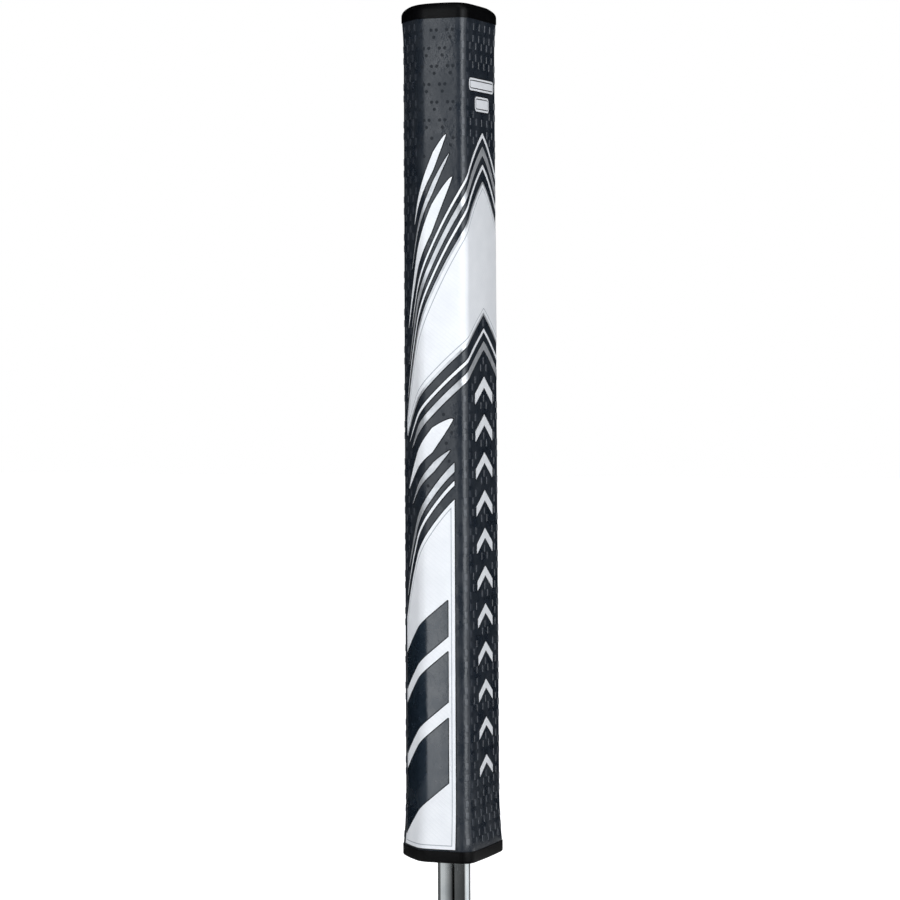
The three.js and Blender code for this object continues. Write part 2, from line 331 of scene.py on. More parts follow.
def finish_piece(piece: Piece, finish: Finish, body: Body, slot: str, *nodes: str) -> None:
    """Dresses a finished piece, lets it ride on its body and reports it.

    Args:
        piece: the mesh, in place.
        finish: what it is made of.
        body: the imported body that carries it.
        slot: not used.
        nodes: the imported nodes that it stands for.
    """
    piece.data.materials.clear()
    piece.data.materials.append(finish.material())
    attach(piece, body.value)
    if nodes:
        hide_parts(*nodes)
    triangles = sum(len(face.vertices) - 2 for face in piece.data.polygons)
    log.info("%s: %d triangles, on %s", piece.name, triangles, body.value)


# ------------------------------ colours and nodes

NOISE = "ShaderNodeTexNoise"
CELLS = "ShaderNodeTexVoronoi"
MATH = "ShaderNodeMath"
RANGE = "ShaderNodeMapRange"
BUMP = "ShaderNodeBump"
MIX = "ShaderNodeMix"
SHARE, FIRST, SECOND, MIXED = 0, 6, 7, 2  # the Mix node's numbered sockets for colours
MOST_NOISE = {"From Min": 0.3, "From Max": 0.7}  # where most of a noise's values lie
WAVES_PER_UNIT = 3.18  # the rings of the Wave texture in one unit, at a scale of 1


def linear(colour: str) -> tuple[float, float, float, float]:
    """Turns a colour to linear.

    Args:
        colour: an sRGB hex value such as #22262c.

    Returns:
        The linear RGBA colour.
    """
    low, knee, offset, power = 12.92, 0.04045, 0.055, 2.4
    parts = [int(colour[i : i + 2], 16) / 255 for i in (1, 3, 5)]
    return (*(c / low if c <= knee else ((c + offset) / (1 + offset)) ** power for c in parts), 1.0)


def add_node(tree: Tree, kind: str, inputs: Mapping[str | int, Any] | None = None, **settings: Any) -> Node:
    """Adds a node with its settings and links.

    Args:
        tree: the material's or world's node tree.
        kind: the node's type name.
        inputs: what each input takes, by its name or number: a value, an sRGB hex colour, an output to
            link, or a node, which is linked by its first output, or a Mix node by its colour.
        settings: the node's own properties.

    Returns:
        The node.
    """
    made = tree.nodes.new(kind)
    for name, value in settings.items():
        setattr(made, name, value)
    for name, value in (inputs or {}).items():
        if isinstance(value, Node):
            value = value.outputs[MIXED if value.bl_idname == MIX else 0]
        if isinstance(value, Socket):
            tree.links.new(value, made.inputs[name])
        else:
            made.inputs[name].default_value = linear(value) if isinstance(value, str) else value
    return made


def adder(owner: bpy.types.Material | bpy.types.World) -> Adder:
    """Clears the nodes of a material or a world.

    Args:
        owner: the material or the world.

    Returns:
        add_node, bound to its node tree.
    """
    owner.use_nodes = True
    owner.node_tree.nodes.clear()
    return partial(add_node, owner.node_tree)


class Space(Enum):
    """Where a pattern's coordinates come from."""

    OBJECT = "object"
    LAYOUT = "layout"


@dataclass(frozen=True)
class Finish:
    """A material of the grip. Each kind adds its own pattern to the same shader."""

    name: str
    colour: str = "#808080"
    roughness: float = 0.5
    metallic: float = 0.0
    specular: float = 0.5
    coat: float = 0.0
    sheen: float = 0.0
    smoother: float = 0.05  # how far its roughness falls and rises from place to place
    duller: float = 0.06

    def material(self) -> bpy.types.Material:
        """Makes the Blender material at its first use.

        Returns:
            The material.
        """
        known = bpy.data.materials.get(self.name)
        if known is not None:
            return known
        made = bpy.data.materials.new(self.name)
        add = adder(made)
        settings = {
            "Base Color": self.colour,
            "Roughness": self.roughness,
            "Metallic": self.metallic,
            "Specular IOR Level": self.specular,
            "Coat Weight": self.coat,
            "Coat Roughness": self.roughness,
            "Sheen Weight": self.sheen,
        }
        shader = add("ShaderNodeBsdfPrincipled", settings | self.pattern(add))
        add("ShaderNodeOutputMaterial", {"Surface": shader})
        return made

    def pattern(self, add: Adder) -> dict[str, Node]:
        """Makes what tells this kind of surface from one flat colour.

        Args:
            add: adds a node to the material.

        Returns:
            What the shader's inputs take.
        """
        raise NotImplementedError

    @property
    def wander(self) -> dict[str, float]:
        """The settings that turn a noise into this finish's roughness."""
        low, high = self.roughness - self.smoother, self.roughness + self.duller
        return {**MOST_NOISE, "To Min": low, "To Max": high}

    def place(
        self, add: Adder, space: Space = Space.OBJECT, scale: Scale = (1, 1, 1), turn: float = 0.0
    ) -> Node:
        """Makes a pattern's coordinates.

        Args:
            add: adds a node to the material.
            space: where they come from.
            scale: how much closer together the pattern stands along each axis.
            turn: the pattern's turn about the third axis, in degrees.

        Returns:
            The coordinates in millimetres, scaled and turned.
        """
        if space is Space.OBJECT:
            source = add("ShaderNodeTexCoord").outputs["Object"]
            unit = 1 / MM
        else:
            source = add("ShaderNodeUVMap", uv_map=LAYOUT)
            unit = LAYOUT_UNIT
        turns = (0, 0, math.radians(turn))
        settings = {"Vector": source, "Scale": [s * unit for s in scale], "Rotation": turns}
        return add("ShaderNodeMapping", settings)


@dataclass(frozen=True)
class CastPolyurethane(Finish):
    """Polyurethane cast on felt against a grained roller: a satin face with a fine hide grain."""

    smoother: float = 0.08
    duller: float = 0.18
    worn: str = "#2b3037"
    cloud: float = 6.0  # the size of the patches that hands polish, in millimetres as all sizes here
    speckle: float = 0.9
    grain: float = 0.55
    grain_depth: float = 0.03
    wave: float = 4.0
    wave_depth: float = 0.25

    def pattern(self, add: Adder) -> dict[str, Node]:
        """A pebbled grain half a millimetre wide over the felt's soft waves, clouded where it is polished.

        Args:
            add: adds a node to the material.

        Returns:
            What the shader's inputs take.
        """
        place = self.place(add)
        clouds, fine, waves = (
            add(NOISE, {"Vector": place, "Scale": 1 / size, "Detail": 3})
            for size in (self.cloud, self.speckle, self.wave)
        )
        patchy = add(RANGE, {"Value": clouds, "From Min": 0.35, "From Max": 0.7})
        speckled = add(RANGE, {"Value": fine, "From Min": 0.4, "From Max": 0.75, "To Max": 0.6})
        colour = self.colour
        for share in (patchy, speckled):
            colour = add(MIX, {SHARE: share, FIRST: colour, SECOND: self.worn}, data_type="RGBA")
        rough = add(RANGE, {"Value": clouds, **self.wander})
        cells = add(CELLS, {"Vector": place, "Scale": 1 / self.grain}, feature="SMOOTH_F1")
        pebbles = add(RANGE, {"Value": cells, "From Min": 0.1, "From Max": 0.7, "To Min": 1, "To Max": 0})
        wavy = add(BUMP, {"Height": waves, "Distance": self.wave_depth * MM})
        grained = add(BUMP, {"Height": pebbles, "Distance": self.grain_depth * MM, "Normal": wavy})
        return {"Base Color": colour, "Roughness": rough, "Normal": grained}


@dataclass(frozen=True)
class PrintedFilm(Finish):
    """Opaque print on the cast face, rolled with a fine diagonal lattice."""

    shade: str = "#e6e8ec"
    cloud: float = 6.0
    grain: float = 0.35
    grain_depth: float = 0.012
    lattice: float = 0.6  # half the way from one line to the next
    line: float = 0.1
    line_share: float = 0.4  # how much of the shade the lines take
    lattice_depth: float = 0.03
    lattice_turns: tuple[tuple[float, float], ...] = ((-52, 1), (52, 0.4))  # degrees, and how strong

    def pattern(self, add: Adder) -> dict[str, Node]:
        """Crossed diagonal lines, fainter one way, and the faint clouding of a screen print.

        Args:
            add: adds a node to the material.

        Returns:
            What the shader's inputs take.
        """
        ridges = []
        for turn, strength in self.lattice_turns:
            place = self.place(add, Space.LAYOUT, turn=turn)
            across = add("ShaderNodeSeparateXYZ", {"Vector": place})
            wave = add(MATH, {0: across, 1: self.lattice}, operation="PINGPONG")
            sharp = {"Value": wave, "From Max": self.line * 2, "To Min": strength, "To Max": 0}
            ridges.append(add(RANGE, sharp))
        lines = add(MATH, dict(enumerate(ridges)), operation="MAXIMUM")
        place = self.place(add)
        clouds, fine = (
            add(NOISE, {"Vector": place, "Scale": 1 / size, "Detail": 3})
            for size in (self.cloud, self.grain)
        )
        cloudy = add(RANGE, {"Value": clouds, "From Min": 0.3, "From Max": 0.75, "To Max": 0.55})
        faint = add(RANGE, {"Value": lines, "To Max": self.line_share})
        colour = self.colour
        for share in (cloudy, faint):
            colour = add(MIX, {SHARE: share, FIRST: colour, SECOND: self.shade}, data_type="RGBA")
        grain = add(RANGE, {"Value": fine, **MOST_NOISE})
        grained = add(BUMP, {"Height": grain, "Distance": self.grain_depth * MM})
        rolled = add(BUMP, {"Height": lines, "Distance": self.lattice_depth * MM, "Normal": grained})
        return {"Base Color": colour, "Normal": rolled}


@dataclass(frozen=True)
class StampedFoil(Finish):
    """Silver foil stamped on with heat: bright, and a little rippled by the foam under it."""

    duller: float = 0.07
    tarnish: str = "#a9adb3"
    ripple: float = 3.0
    ripple_depth: float = 0.015
    peel: float = 0.4
    peel_depth: float = 0.003

    def pattern(self, add: Adder) -> dict[str, Node]:
        """Soft ripples a few millimetres long and a fine orange peel.

        Args:
            add: adds a node to the material.

        Returns:
            What the shader's inputs take.
        """
        place = self.place(add)
        ripples, peel = (
            add(NOISE, {"Vector": place, "Scale": 1 / size, "Detail": 3})
            for size in (self.ripple, self.peel)
        )
        dull = add(RANGE, {"Value": ripples, "From Min": 0.35, "From Max": 0.7, "To Max": 0.5})
        colour = add(MIX, {SHARE: dull, FIRST: self.colour, SECOND: self.tarnish}, data_type="RGBA")
        rough = add(RANGE, {"Value": peel, **self.wander})
        peeled = add(BUMP, {"Height": peel, "Distance": self.peel_depth * MM})
        rippled = add(BUMP, {"Height": ripples, "Distance": self.ripple_depth * MM, "Normal": peeled})
        return {"Base Color": colour, "Roughness": rough, "Normal": rippled}


@dataclass(frozen=True)
class MouldedRubber(Finish):
    """Compression-moulded rubber: near black, satin, with the fine blast texture of its mould."""

    bloom: str = "#1b1b1e"
    patch: float = 5.0
    texture: float = 0.22
    texture_depth: float = 0.02

    def pattern(self, add: Adder) -> dict[str, Node]:
        """A sanded grain with a faint grey bloom in patches.

        Args:
            add: adds a node to the material.

        Returns:
            What the shader's inputs take.
        """
        place = self.place(add)
        patches = add(NOISE, {"Vector": place, "Scale": 1 / self.patch, "Detail": 3})
        bloom = add(RANGE, {"Value": patches, "From Min": 0.45, "From Max": 0.8, "To Max": 0.8})
        colour = add(MIX, {SHARE: bloom, FIRST: self.colour, SECOND: self.bloom}, data_type="RGBA")
        sand = add(NOISE, {"Vector": place, "Scale": 1 / self.texture, "Detail": 2})
        return {
            "Base Color": colour,
            "Roughness": add(RANGE, {"Value": sand, **self.wander}),
            "Normal": add(BUMP, {"Height": sand, "Distance": self.texture_depth * MM}),
        }


@dataclass(frozen=True)
class ChromedSteel(Finish):
    """Drawn steel tube, polished and chrome plated: a mirror with faint lengthwise draw lines."""

    smoother: float = 0.015
    duller: float = 0.03
    haze: str = "#cdd5d9"
    smear: float = 9.0
    line: float = 0.12
    line_length: float = 40
    line_depth: float = 0.001
    line_strength: float = 0.4

    def pattern(self, add: Adder) -> dict[str, Node]:
        """Lines along the tube that hardly show but in how sharp the reflection is.

        Args:
            add: adds a node to the material.

        Returns:
            What the shader's inputs take.
        """
        stretched = self.place(add, scale=(1, 1, self.line / self.line_length))
        lines = add(NOISE, {"Vector": stretched, "Scale": 1 / self.line, "Detail": 2})
        place = self.place(add)
        smears = add(NOISE, {"Vector": place, "Scale": 1 / self.smear, "Detail": 3})
        hazy = add(RANGE, {"Value": smears, "From Min": 0.4, "From Max": 0.8})
        colour = add(MIX, {SHARE: hazy, FIRST: self.colour, SECOND: self.haze}, data_type="RGBA")
        drawn = {"Height": lines, "Distance": self.line_depth * MM, "Strength": self.line_strength}
        return {
            "Base Color": colour,
            "Roughness": add(RANGE, {"Value": lines, **self.wander}),
            "Normal": add(BUMP, drawn),
        }


@dataclass(frozen=True)
class TurnedAluminium(Finish):
    """Aluminium bar turned on a lathe and clear anodised: fine rings that fan the light out."""

    duller: float = 0.08
    valley: str = "#8f9296"
    feed: float = 0.18  # millimetres that the tool moves in a turn
    groove_depth: float = 0.006
    stain: float = 1.5

    def pattern(self, add: Adder) -> dict[str, Node]:
        """Rings round the axis at the lathe's feed.

        Args:
            add: adds a node to the material.

        Returns:
            What the shader's inputs take.
        """
        place = self.place(add)
        ringed = {"Vector": place, "Scale": 1 / self.feed / WAVES_PER_UNIT, "Distortion": 0.6, "Detail": 1}
        groove = add("ShaderNodeTexWave", ringed, wave_type="RINGS", rings_direction="Z").outputs["Fac"]
        dark = add(RANGE, {"Value": groove, "To Max": 0.35})
        colour = add(MIX, {SHARE: dark, FIRST: self.colour, SECOND: self.valley}, data_type="RGBA")
        stains = add(NOISE, {"Vector": place, "Scale": 1 / self.stain, "Detail": 3})
        return {
            "Base Color": colour,
            "Roughness": add(RANGE, {"Value": stains, **self.wander}),
            "Normal": add(BUMP, {"Height": groove, "Distance": self.groove_depth * MM}),
        }


@dataclass(frozen=True)
class MouldedNylon(Finish):
    """Glass-filled nylon, injection moulded: dark and dull, with fibres and flow marks at the face."""

    smoother: float = 0.06
    fibre: str = "#2b2c30"
    fibre_width: float = 0.3
    flow: tuple[float, float, float] = (1, 0.25, 1)  # the fibres are drawn out along the second axis
    flow_turn: float = 30.0
    spark: float = 0.15
    spark_depth: float = 0.012

    def pattern(self, add: Adder) -> dict[str, Node]:
        """Short pale fibres drawn out along the flow, over a spark-eroded texture.

        Args:
            add: adds a node to the material.

        Returns:
            What the shader's inputs take.
        """
        along = self.place(add, scale=self.flow, turn=self.flow_turn)
        flow = add(NOISE, {"Vector": along, "Scale": 1 / self.fibre_width, "Detail": 2})
        fibres = add(RANGE, {"Value": flow, "From Min": 0.58, "From Max": 0.75, "To Max": 0.9})
        colour = add(MIX, {SHARE: fibres, FIRST: self.colour, SECOND: self.fibre}, data_type="RGBA")
        place = self.place(add)
        spark = add(NOISE, {"Vector": place, "Scale": 1 / self.spark, "Detail": 2})
        return {
            "Base Color": colour,
            "Roughness": add(RANGE, {"Value": spark, **self.wander}),
            "Normal": add(BUMP, {"Height": spark, "Distance": self.spark_depth * MM}),
        }


@dataclass(frozen=True)
class EvaFoam(Finish):
    """Closed-cell EVA foam, moulded and ground to size: dull, with its cut cells open at the face."""

    cell: float = 0.35
    cell_depth: float = 0.15
    shine: str = "#3a3a3d"

    def pattern(self, add: Adder) -> dict[str, Node]:
        """Cut cells a third of a millimetre wide, paler on their rims.

        Args:
            add: adds a node to the material.

        Returns:
            What the shader's inputs take.
        """
        place = self.place(add)
        cells = add(CELLS, {"Vector": place, "Scale": 1 / self.cell})
        rims = add(RANGE, {"Value": cells, "From Min": 0.2, "From Max": 0.75})
        colour = add(MIX, {SHARE: rims, FIRST: self.colour, SECOND: self.shine}, data_type="RGBA")
        pitted = add(BUMP, {"Height": rims, "Distance": self.cell_depth * MM})
        return {"Base Color": colour, "Normal": pitted}


@dataclass(frozen=True)
class NeedledFelt(Finish):
    """Needle-punched felt: a mat of fine polyester fibres with no weave."""

    pale: str = "#8d8d90"
    fibre: float = 0.12
    fibre_depth: float = 0.1
    turns: tuple[float, float] = (35, -50)  # the two sets' directions in degrees

    def pattern(self, add: Adder) -> dict[str, Node]:
        """Two sets of crossing fibres.

        Args:
            add: adds a node to the material.

        Returns:
            What the shader's inputs take.
        """
        places = [self.place(add, scale=(1, 1, 0.12), turn=turn) for turn in self.turns]
        heights = [add(NOISE, {"Vector": place, "Scale": 1 / self.fibre, "Detail": 2}) for place in places]
        mat = add(MATH, dict(enumerate(heights)), operation="MAXIMUM")
        fibres = add(RANGE, {"Value": mat, "From Min": 0.45, "From Max": 0.75})
        colour = add(MIX, {SHARE: fibres, FIRST: self.colour, SECOND: self.pale}, data_type="RGBA")
        matted = add(BUMP, {"Height": fibres, "Distance": self.fibre_depth * MM})
        return {"Base Color": colour, "Normal": matted}


@dataclass(frozen=True)
class CrepePaper(Finish):
    """Creped paper tape: straw coloured, finely wrinkled across its length."""

    crest: str = "#e0d2ad"
    crepe: float = 0.7
    crepe_depth: float = 0.06

    def pattern(self, add: Adder) -> dict[str, Node]:
        """Wrinkles two thirds of a millimetre apart that run round the shaft.

        Args:
            add: adds a node to the material.

        Returns:
            What the shader's inputs take.
        """
        place = self.place(add, scale=(0.15, 0.15, 1))
        wrinkles = add(NOISE, {"Vector": place, "Scale": 1 / self.crepe, "Detail": 2})
        crests = add(RANGE, {"Value": wrinkles, "From Min": 0.4, "From Max": 0.65})
        colour = add(MIX, {SHARE: crests, FIRST: self.colour, SECOND: self.crest}, data_type="RGBA")
        creped = add(BUMP, {"Height": crests, "Distance": self.crepe_depth * MM})
        return {"Base Color": colour, "Normal": creped}


# The outer skin is charcoal polyurethane, cast: dark, bluish and satin.
SKIN = CastPolyurethane(
    "cast_polyurethane_charcoal", "#1d242d", roughness=0.28, coat=0.15, grain_depth=0.018, wave_depth=0.3
)
# Its pads are rubbed smoother by the hands, and their paler colour is partly their own tone and partly a
# painted highlight for the light that catches the raised pads. Its dimples stay dull and are painted a little
# darker: painted shade in the hollows.
PAD_TONE_AND_HIGHLIGHT = CastPolyurethane(
    "cast_polyurethane_pad_tone_and_highlight", "#2d323a", roughness=0.3, coat=0.3, worn="#3a3f47", grain_depth=0.01
)
DIMPLE_TONE_AND_SHADE = CastPolyurethane(
    "cast_polyurethane_dimple_tone_and_shade", "#1c2026", roughness=0.5, specular=0.3, worn="#22272d", grain_depth=0.01
)
# The slate bars are lacquered over the cast face. The dull near-black lines round the prints and bars are
# painted shade for the grooves along the print edges; inside the badges the same finish is a printed line.
BAR_PRINT = CastPolyurethane(
    "cast_polyurethane_print_slate", "#1a242e", roughness=0.2, coat=1.0, worn="#222d38", grain_depth=0.008
)
LINE_AND_SHADE_PRINT = CastPolyurethane(
    "cast_polyurethane_groove_shade_and_line", "#0f1115", roughness=0.5, specular=0.3, worn="#16191e", grain_depth=0.01
)
WHITE_PRINT = PrintedFilm("screen_print_white", "#f4f5f8", roughness=0.4, specular=0.4)
GREY_PRINT = PrintedFilm("screen_print_grey", "#b4b8be", roughness=0.5, shade="#a4a8af", lattice_depth=0.004)
SILVER_FOIL = StampedFoil("stamped_foil_silver", "#e2e4e8", roughness=0.4, metallic=0.6)
CAP_RUBBER = MouldedRubber("moulded_rubber_black", "#060607", roughness=0.4, specular=0.15, bloom="#0d0d0f")
SEAL_RUBBER = MouldedRubber("moulded_nitrile_black", "#121213", roughness=0.4, bloom="#1c1c1e", texture=0.15)
CHROME = ChromedSteel("chromed_steel_polished", "#e9eff1", roughness=0.05, metallic=1.0)
ALUMINIUM = TurnedAluminium("turned_aluminium_anodised", "#c6c8cb", roughness=0.3, metallic=1.0)
NYLON = MouldedNylon("moulded_nylon_black", "#222428", roughness=0.4, fibre="#34363b")
FOAM = EvaFoam("ground_eva_foam", "#232326", roughness=0.9, specular=0.2)
FELT = NeedledFelt("needled_felt_grey", "#5c5c60", roughness=0.95, specular=0.1, sheen=0.4)
PAPER = CrepePaper("creped_paper_tape", "#c9b887", roughness=0.85, specular=0.2)


# ------------------------------ the section and the flat layout


SHOULDER, FRONT_CORNER = 2, 4  # their numbers in the order of GripSection.corners()


@dataclass(frozen=True)
class Corner:
    """A corner of the section before it is rounded, in millimetres."""

    x: float
    y: float
    radius: float


@dataclass
class GripSection:
    """The grip's five-sided section, and how a flat layout lies on it. Lengths are in millimetres."""

    front_width: float = 32.3
    shoulder_width: float = 30.1
    front_depth: float = 10.6
    shoulder_depth: float = 5.5
    ridge_depth: float = 16.6
    front_radius: float = 3.0
    shoulder_radius: float = 6.5
    ridge_radius: float = 5.3
    front_crown: float = 0.5
    side_crown: float = 0.3
    back_crown: float = 0.6
    butt_inset: float = 0.55
    mouth_flare: float = 0.8
    mouth_flare_length: float = 17.0
    butt_flare: float = 0.5
    butt_flare_length: float = 11.0
    bottom: float = 0.0  # the skin's lower and upper edges, from the frame
    top: float = 0.0
    trace_step: float = 0.05
    trace: Array = field(init=False, repr=False)
    arc_spans: list[tuple[float, float]] = field(init=False, repr=False)

    def __post_init__(self) -> None:
        """Traces the section once, from the ridge anticlockwise from above."""
        self.bottom, self.top = heights_of("outer_skin")
        rows: list[Array] = []
        spans: list[tuple[float, float]] = []
        length = 0.0
        for centre, radius, start, turn in self.arcs():
            steps = max(2, math.ceil(radius * turn / self.trace_step))
            angles = start + np.linspace(0, turn, steps + 1)
            normals = np.column_stack([np.cos(angles), np.sin(angles)])
            points = centre + radius * normals
            if rows:
                length += float(np.linalg.norm(points[0] - rows[-1][-1, 1:3]))
            ways = length + np.linspace(0, radius * turn, steps + 1)
            spans.append((ways[0], ways[-1]))
            length = float(ways[-1])
            rows.append(np.column_stack([ways, points, normals]))
        closing = rows[0][:1].copy()
        length += float(np.linalg.norm(closing[0, 1:3] - rows[-1][-1, 1:3]))
        closing[0, 0] = length
        self.trace = np.vstack([*rows, closing])
        self.trace[:, 0] -= (spans[0][0] + spans[0][1]) / 2
        self.arc_spans = spans

    def corners(self) -> list[Corner]:
        """Lists the corners in order from the ridge.

        Returns:
            The corners, with each face's crown as one in its middle.
        """
        shoulder, front = self.shoulder_width / 2, self.front_width / 2
        plain = [
            (Corner(0, self.ridge_depth, self.ridge_radius), self.back_crown),
            (Corner(-shoulder, self.shoulder_depth, self.shoulder_radius), self.side_crown),
            (Corner(-front, -self.front_depth, self.front_radius), self.front_crown),
            (Corner(front, -self.front_depth, self.front_radius), self.side_crown),
            (Corner(shoulder, self.shoulder_depth, self.shoulder_radius), self.back_crown),
        ]
        made = []
        for i, (start, crown) in enumerate(plain):
            end = plain[(i + 1) % len(plain)][0]
            along = np.array([end.x - start.x, end.y - start.y])
            length = float(np.linalg.norm(along))
            outward = np.array([along[1], -along[0]]) / length
            middle = np.array([start.x + end.x, start.y + end.y]) / 2 + outward * crown
            radius = length / 4 / math.tan(math.atan2(crown, length / 2))
            made += [start, Corner(float(middle[0]), float(middle[1]), radius)]
        return made

    def arcs(self) -> list[tuple[Array, float, float, float]]:
        """Rounds the corners.

        Returns:
            Each corner's rounding as its centre, radius, first angle and turn.
        """
        corners = self.corners()
        places = [np.array([c.x, c.y]) for c in corners]
        made = []
        for i, corner in enumerate(corners):
            before = places[i] - places[i - 1]
            after = places[(i + 1) % len(places)] - places[i]
            start = math.atan2(-before[0], before[1])
            turn = (math.atan2(after[1], after[0]) - math.atan2(before[1], before[0])) % (2 * math.pi)
            middle = start + turn / 2
            reach = corner.radius / math.cos(turn / 2)
            centre = places[i] - reach * np.array([math.cos(middle), math.sin(middle)])
            made.append((centre, corner.radius, start, turn))
        return made

    @property
    def around(self) -> float:
        """The way all round the section."""
        return float(self.trace[-1, 0] - self.trace[0, 0])

    def span(self, corner: int) -> tuple[float, float]:
        """Measures where a corner's rounding lies.

        Args:
            corner: its number in the order of corners().

        Returns:
            How far from the middle of the front it starts and ends, nearest first.
        """
        apex = (self.arc_spans[0][0] + self.arc_spans[0][1]) / 2
        ends = [abs(way - apex - self.around / 2) for way in self.arc_spans[corner]]
        return min(ends), max(ends)

    def offset(self, height: Array) -> Array:
        """Works out how far the skin stands off the traced section.

        Args:
            height: the heights, in millimetres.

        Returns:
            The offset at each height.
        """
        inset = self.butt_inset * (height - self.bottom) / (self.top - self.bottom)
        near_mouth = np.maximum(0, 1 - (height - self.bottom) / self.mouth_flare_length)
        near_butt = np.maximum(0, 1 - (self.top - height) / self.butt_flare_length)
        return self.mouth_flare * near_mouth**2 + self.butt_flare * near_butt**2 - inset

    def lay(self, flat: Array) -> Array:
        """Lays flat points on the grip.

        Args:
            flat: rows of round, height and proud, in millimetres.

        Returns:
            Rows of x, y and z in metres.
        """
        way = (flat[:, 0] + self.around / 2) % self.around
        x, y, across, along = (np.interp(way, self.trace[:, 0], self.trace[:, k]) for k in (1, 2, 3, 4))
        length = np.hypot(across, along)
        reach = (self.offset(flat[:, 1]) + flat[:, 2]) / length
        return np.column_stack([x + reach * across, y + reach * along, flat[:, 1]]) * MM

    def outline(self, offset: float, height: float, steps: int) -> Array:
        """Samples the section evenly.

        Args:
            offset: how far the points stand off the traced section.
            height: their height.
            steps: their number.

        Returns:
            Points all round the section, in metres.
        """
        way = np.linspace(-self.around / 2, self.around / 2, steps, endpoint=False)
        proud = offset - self.offset(np.full(steps, height))
        return self.lay(np.column_stack([way, np.full(steps, height), proud]))

    def wrap(self, piece: Piece) -> None:
        """Keeps a flat piece's layout in its UV map, and lays the piece on the grip.

        Args:
            piece: the flat mesh, in millimetres.
        """
        flat = points_of(piece)
        mesh = piece.data
        while mesh.uv_layers:
            mesh.uv_layers.remove(mesh.uv_layers[0])
        layer = mesh.uv_layers.new(name=LAYOUT)
        owners = np.empty(len(mesh.loops), np.int64)
        mesh.loops.foreach_get("vertex_index", owners)
        layer.data.foreach_set("uv", np.ascontiguousarray(flat[owners, :2] / LAYOUT_UNIT).ravel())
        move_points(piece, self.lay(flat))


@dataclass(frozen=True)
class Fall:
    """An edge that falls away from a start, steeper and steeper, in millimetres."""

    start: float
    height: float
    lean: float  # how much it falls in a millimetre at first
    bend: float  # how much steeper it gets, in a millimetre

    def __call__(self, way: Array) -> Array:
        """The height at each way."""
        run = way - self.start
        return self.height - self.lean * run - self.bend * run**2


LEAST_HEIGHT = 0.12  # a band ends where it would be narrower than this, in millimetres
SAMPLE = 0.1  # the step between a band's samples
LEANS = 65  # the directions in which a band's edge is moved
BULGE = 0.7  # the power that rounds the sides of a point; 1 is straight


def sampled(start: float, end: float) -> Array:
    """Even samples of the way round between two ends."""
    return np.linspace(start, end, 2 * max(1, math.ceil((end - start) / SAMPLE / 2)) + 1)


def raised(edge: Edge, by: float) -> Edge:
    """An edge moved up."""
    return lambda way: edge(way) + by


def mirrored(edge: Edge) -> Edge:
    """An edge that is alike on both sides of the front's middle."""
    return lambda way: edge(np.abs(way))


@dataclass(frozen=True)
class Band:
    """A stretch of the flat layout between a low and a high edge, sampled along the way round."""

    ways: Array
    low: Array
    high: Array

    @classmethod
    def between(cls, start: float, end: float, low: Edge, high: Edge) -> Band:
        """The band between two edges that are functions of the way round."""
        ways = sampled(start, end)
        return cls(ways, low(ways) + 0 * ways, high(ways) + 0 * ways)

    def grown(self, by: float) -> Band:
        """Moves a band's whole outline, with its corners kept true.

        Args:
            by: how far outwards, or inwards where it is negative.

        Returns:
            The grown or shrunk band.
        """
        ways = sampled(self.ways[0] - by, self.ways[-1] + by)
        lean = np.linspace(-np.pi / 2, np.pi / 2, LEANS)
        around = ways[:, None] + abs(by) * np.sin(lean)
        reach = abs(by) * np.cos(lean)
        low = np.interp(around, self.ways, self.low)
        high = np.interp(around, self.ways, self.high)
        if by < 0:
            inner = Band(ways, (low + reach).max(axis=1), (high - reach).min(axis=1))
            return inner.where(inner.high - inner.low > LEAST_HEIGHT)
        slack = SAMPLE / 1000
        outside = (around < self.ways[0] - slack) | (around > self.ways[-1] + slack)
        low = np.where(outside, np.inf, low - reach).min(axis=1)
        high = np.where(outside, -np.inf, high + reach).max(axis=1)
        return Band(ways, low, high).where(high >= low)

    def where(self, wanted: Array) -> Band:
        """Keeps the stretch of wanted samples round the tallest one.

        Args:
            wanted: a truth for each sample.

        Returns:
            The stretch.
        """
        tallest = int(np.argmax(np.where(wanted, self.high - self.low, -1)))
        unwanted = np.flatnonzero(~wanted)
        before, after = unwanted[unwanted < tallest], unwanted[unwanted > tallest]
        first = before[-1] + 1 if len(before) else 0
        last = after[0] if len(after) else len(wanted)
        return Band(self.ways[first:last], self.low[first:last], self.high[first:last])

    def tapered(self, start: float, end: float) -> Band:
        """Draws a band's ends to a point.

        Args:
            start: the length over which it narrows at its start, or 0 for a square end.
            end: the same at its end.

        Returns:
            The tapered band.
        """
        share = np.ones_like(self.ways)
        if start > 0:
            share *= np.clip((self.ways - self.ways[0]) / start, 0, 1) ** BULGE
        if end > 0:
            share *= np.clip((self.ways[-1] - self.ways) / end, 0, 1) ** BULGE
        middle, half = (self.low + self.high) / 2, (self.high - self.low) / 2
        half = np.maximum(half * share, LEAST_HEIGHT / 2)
        return Band(self.ways, middle - half, middle + half)

    def flipped(self) -> Band:
        """The same band on the other side of the front's middle."""
        return Band(-self.ways[::-1], self.low[::-1], self.high[::-1])

    def holds(self, flat: Array, margin: float) -> Array:
        """Tests flat points.

        Args:
            flat: rows of round and height.
            margin: how near the band still counts.

        Returns:
            A truth for each point that lies in the band or near it.
        """
        wide = self.grown(margin)
        way, height = flat[:, 0], flat[:, 1]
        low = np.interp(way, wide.ways, wide.low)
        high = np.interp(way, wide.ways, wide.high)
        return (way > wide.ways[0]) & (way < wide.ways[-1]) & (height > low) & (height < high)


@dataclass(frozen=True)
class FilmSize:
    """How a film is meshed, in millimetres and degrees."""

    step_round: float = 0.7
    step_up: float = 3.0
    bend: float = 8.0  # the most that an edge turns in one column
    sink: float = 0.08
    rim: float = 0.03
    rim_segments: int = 1


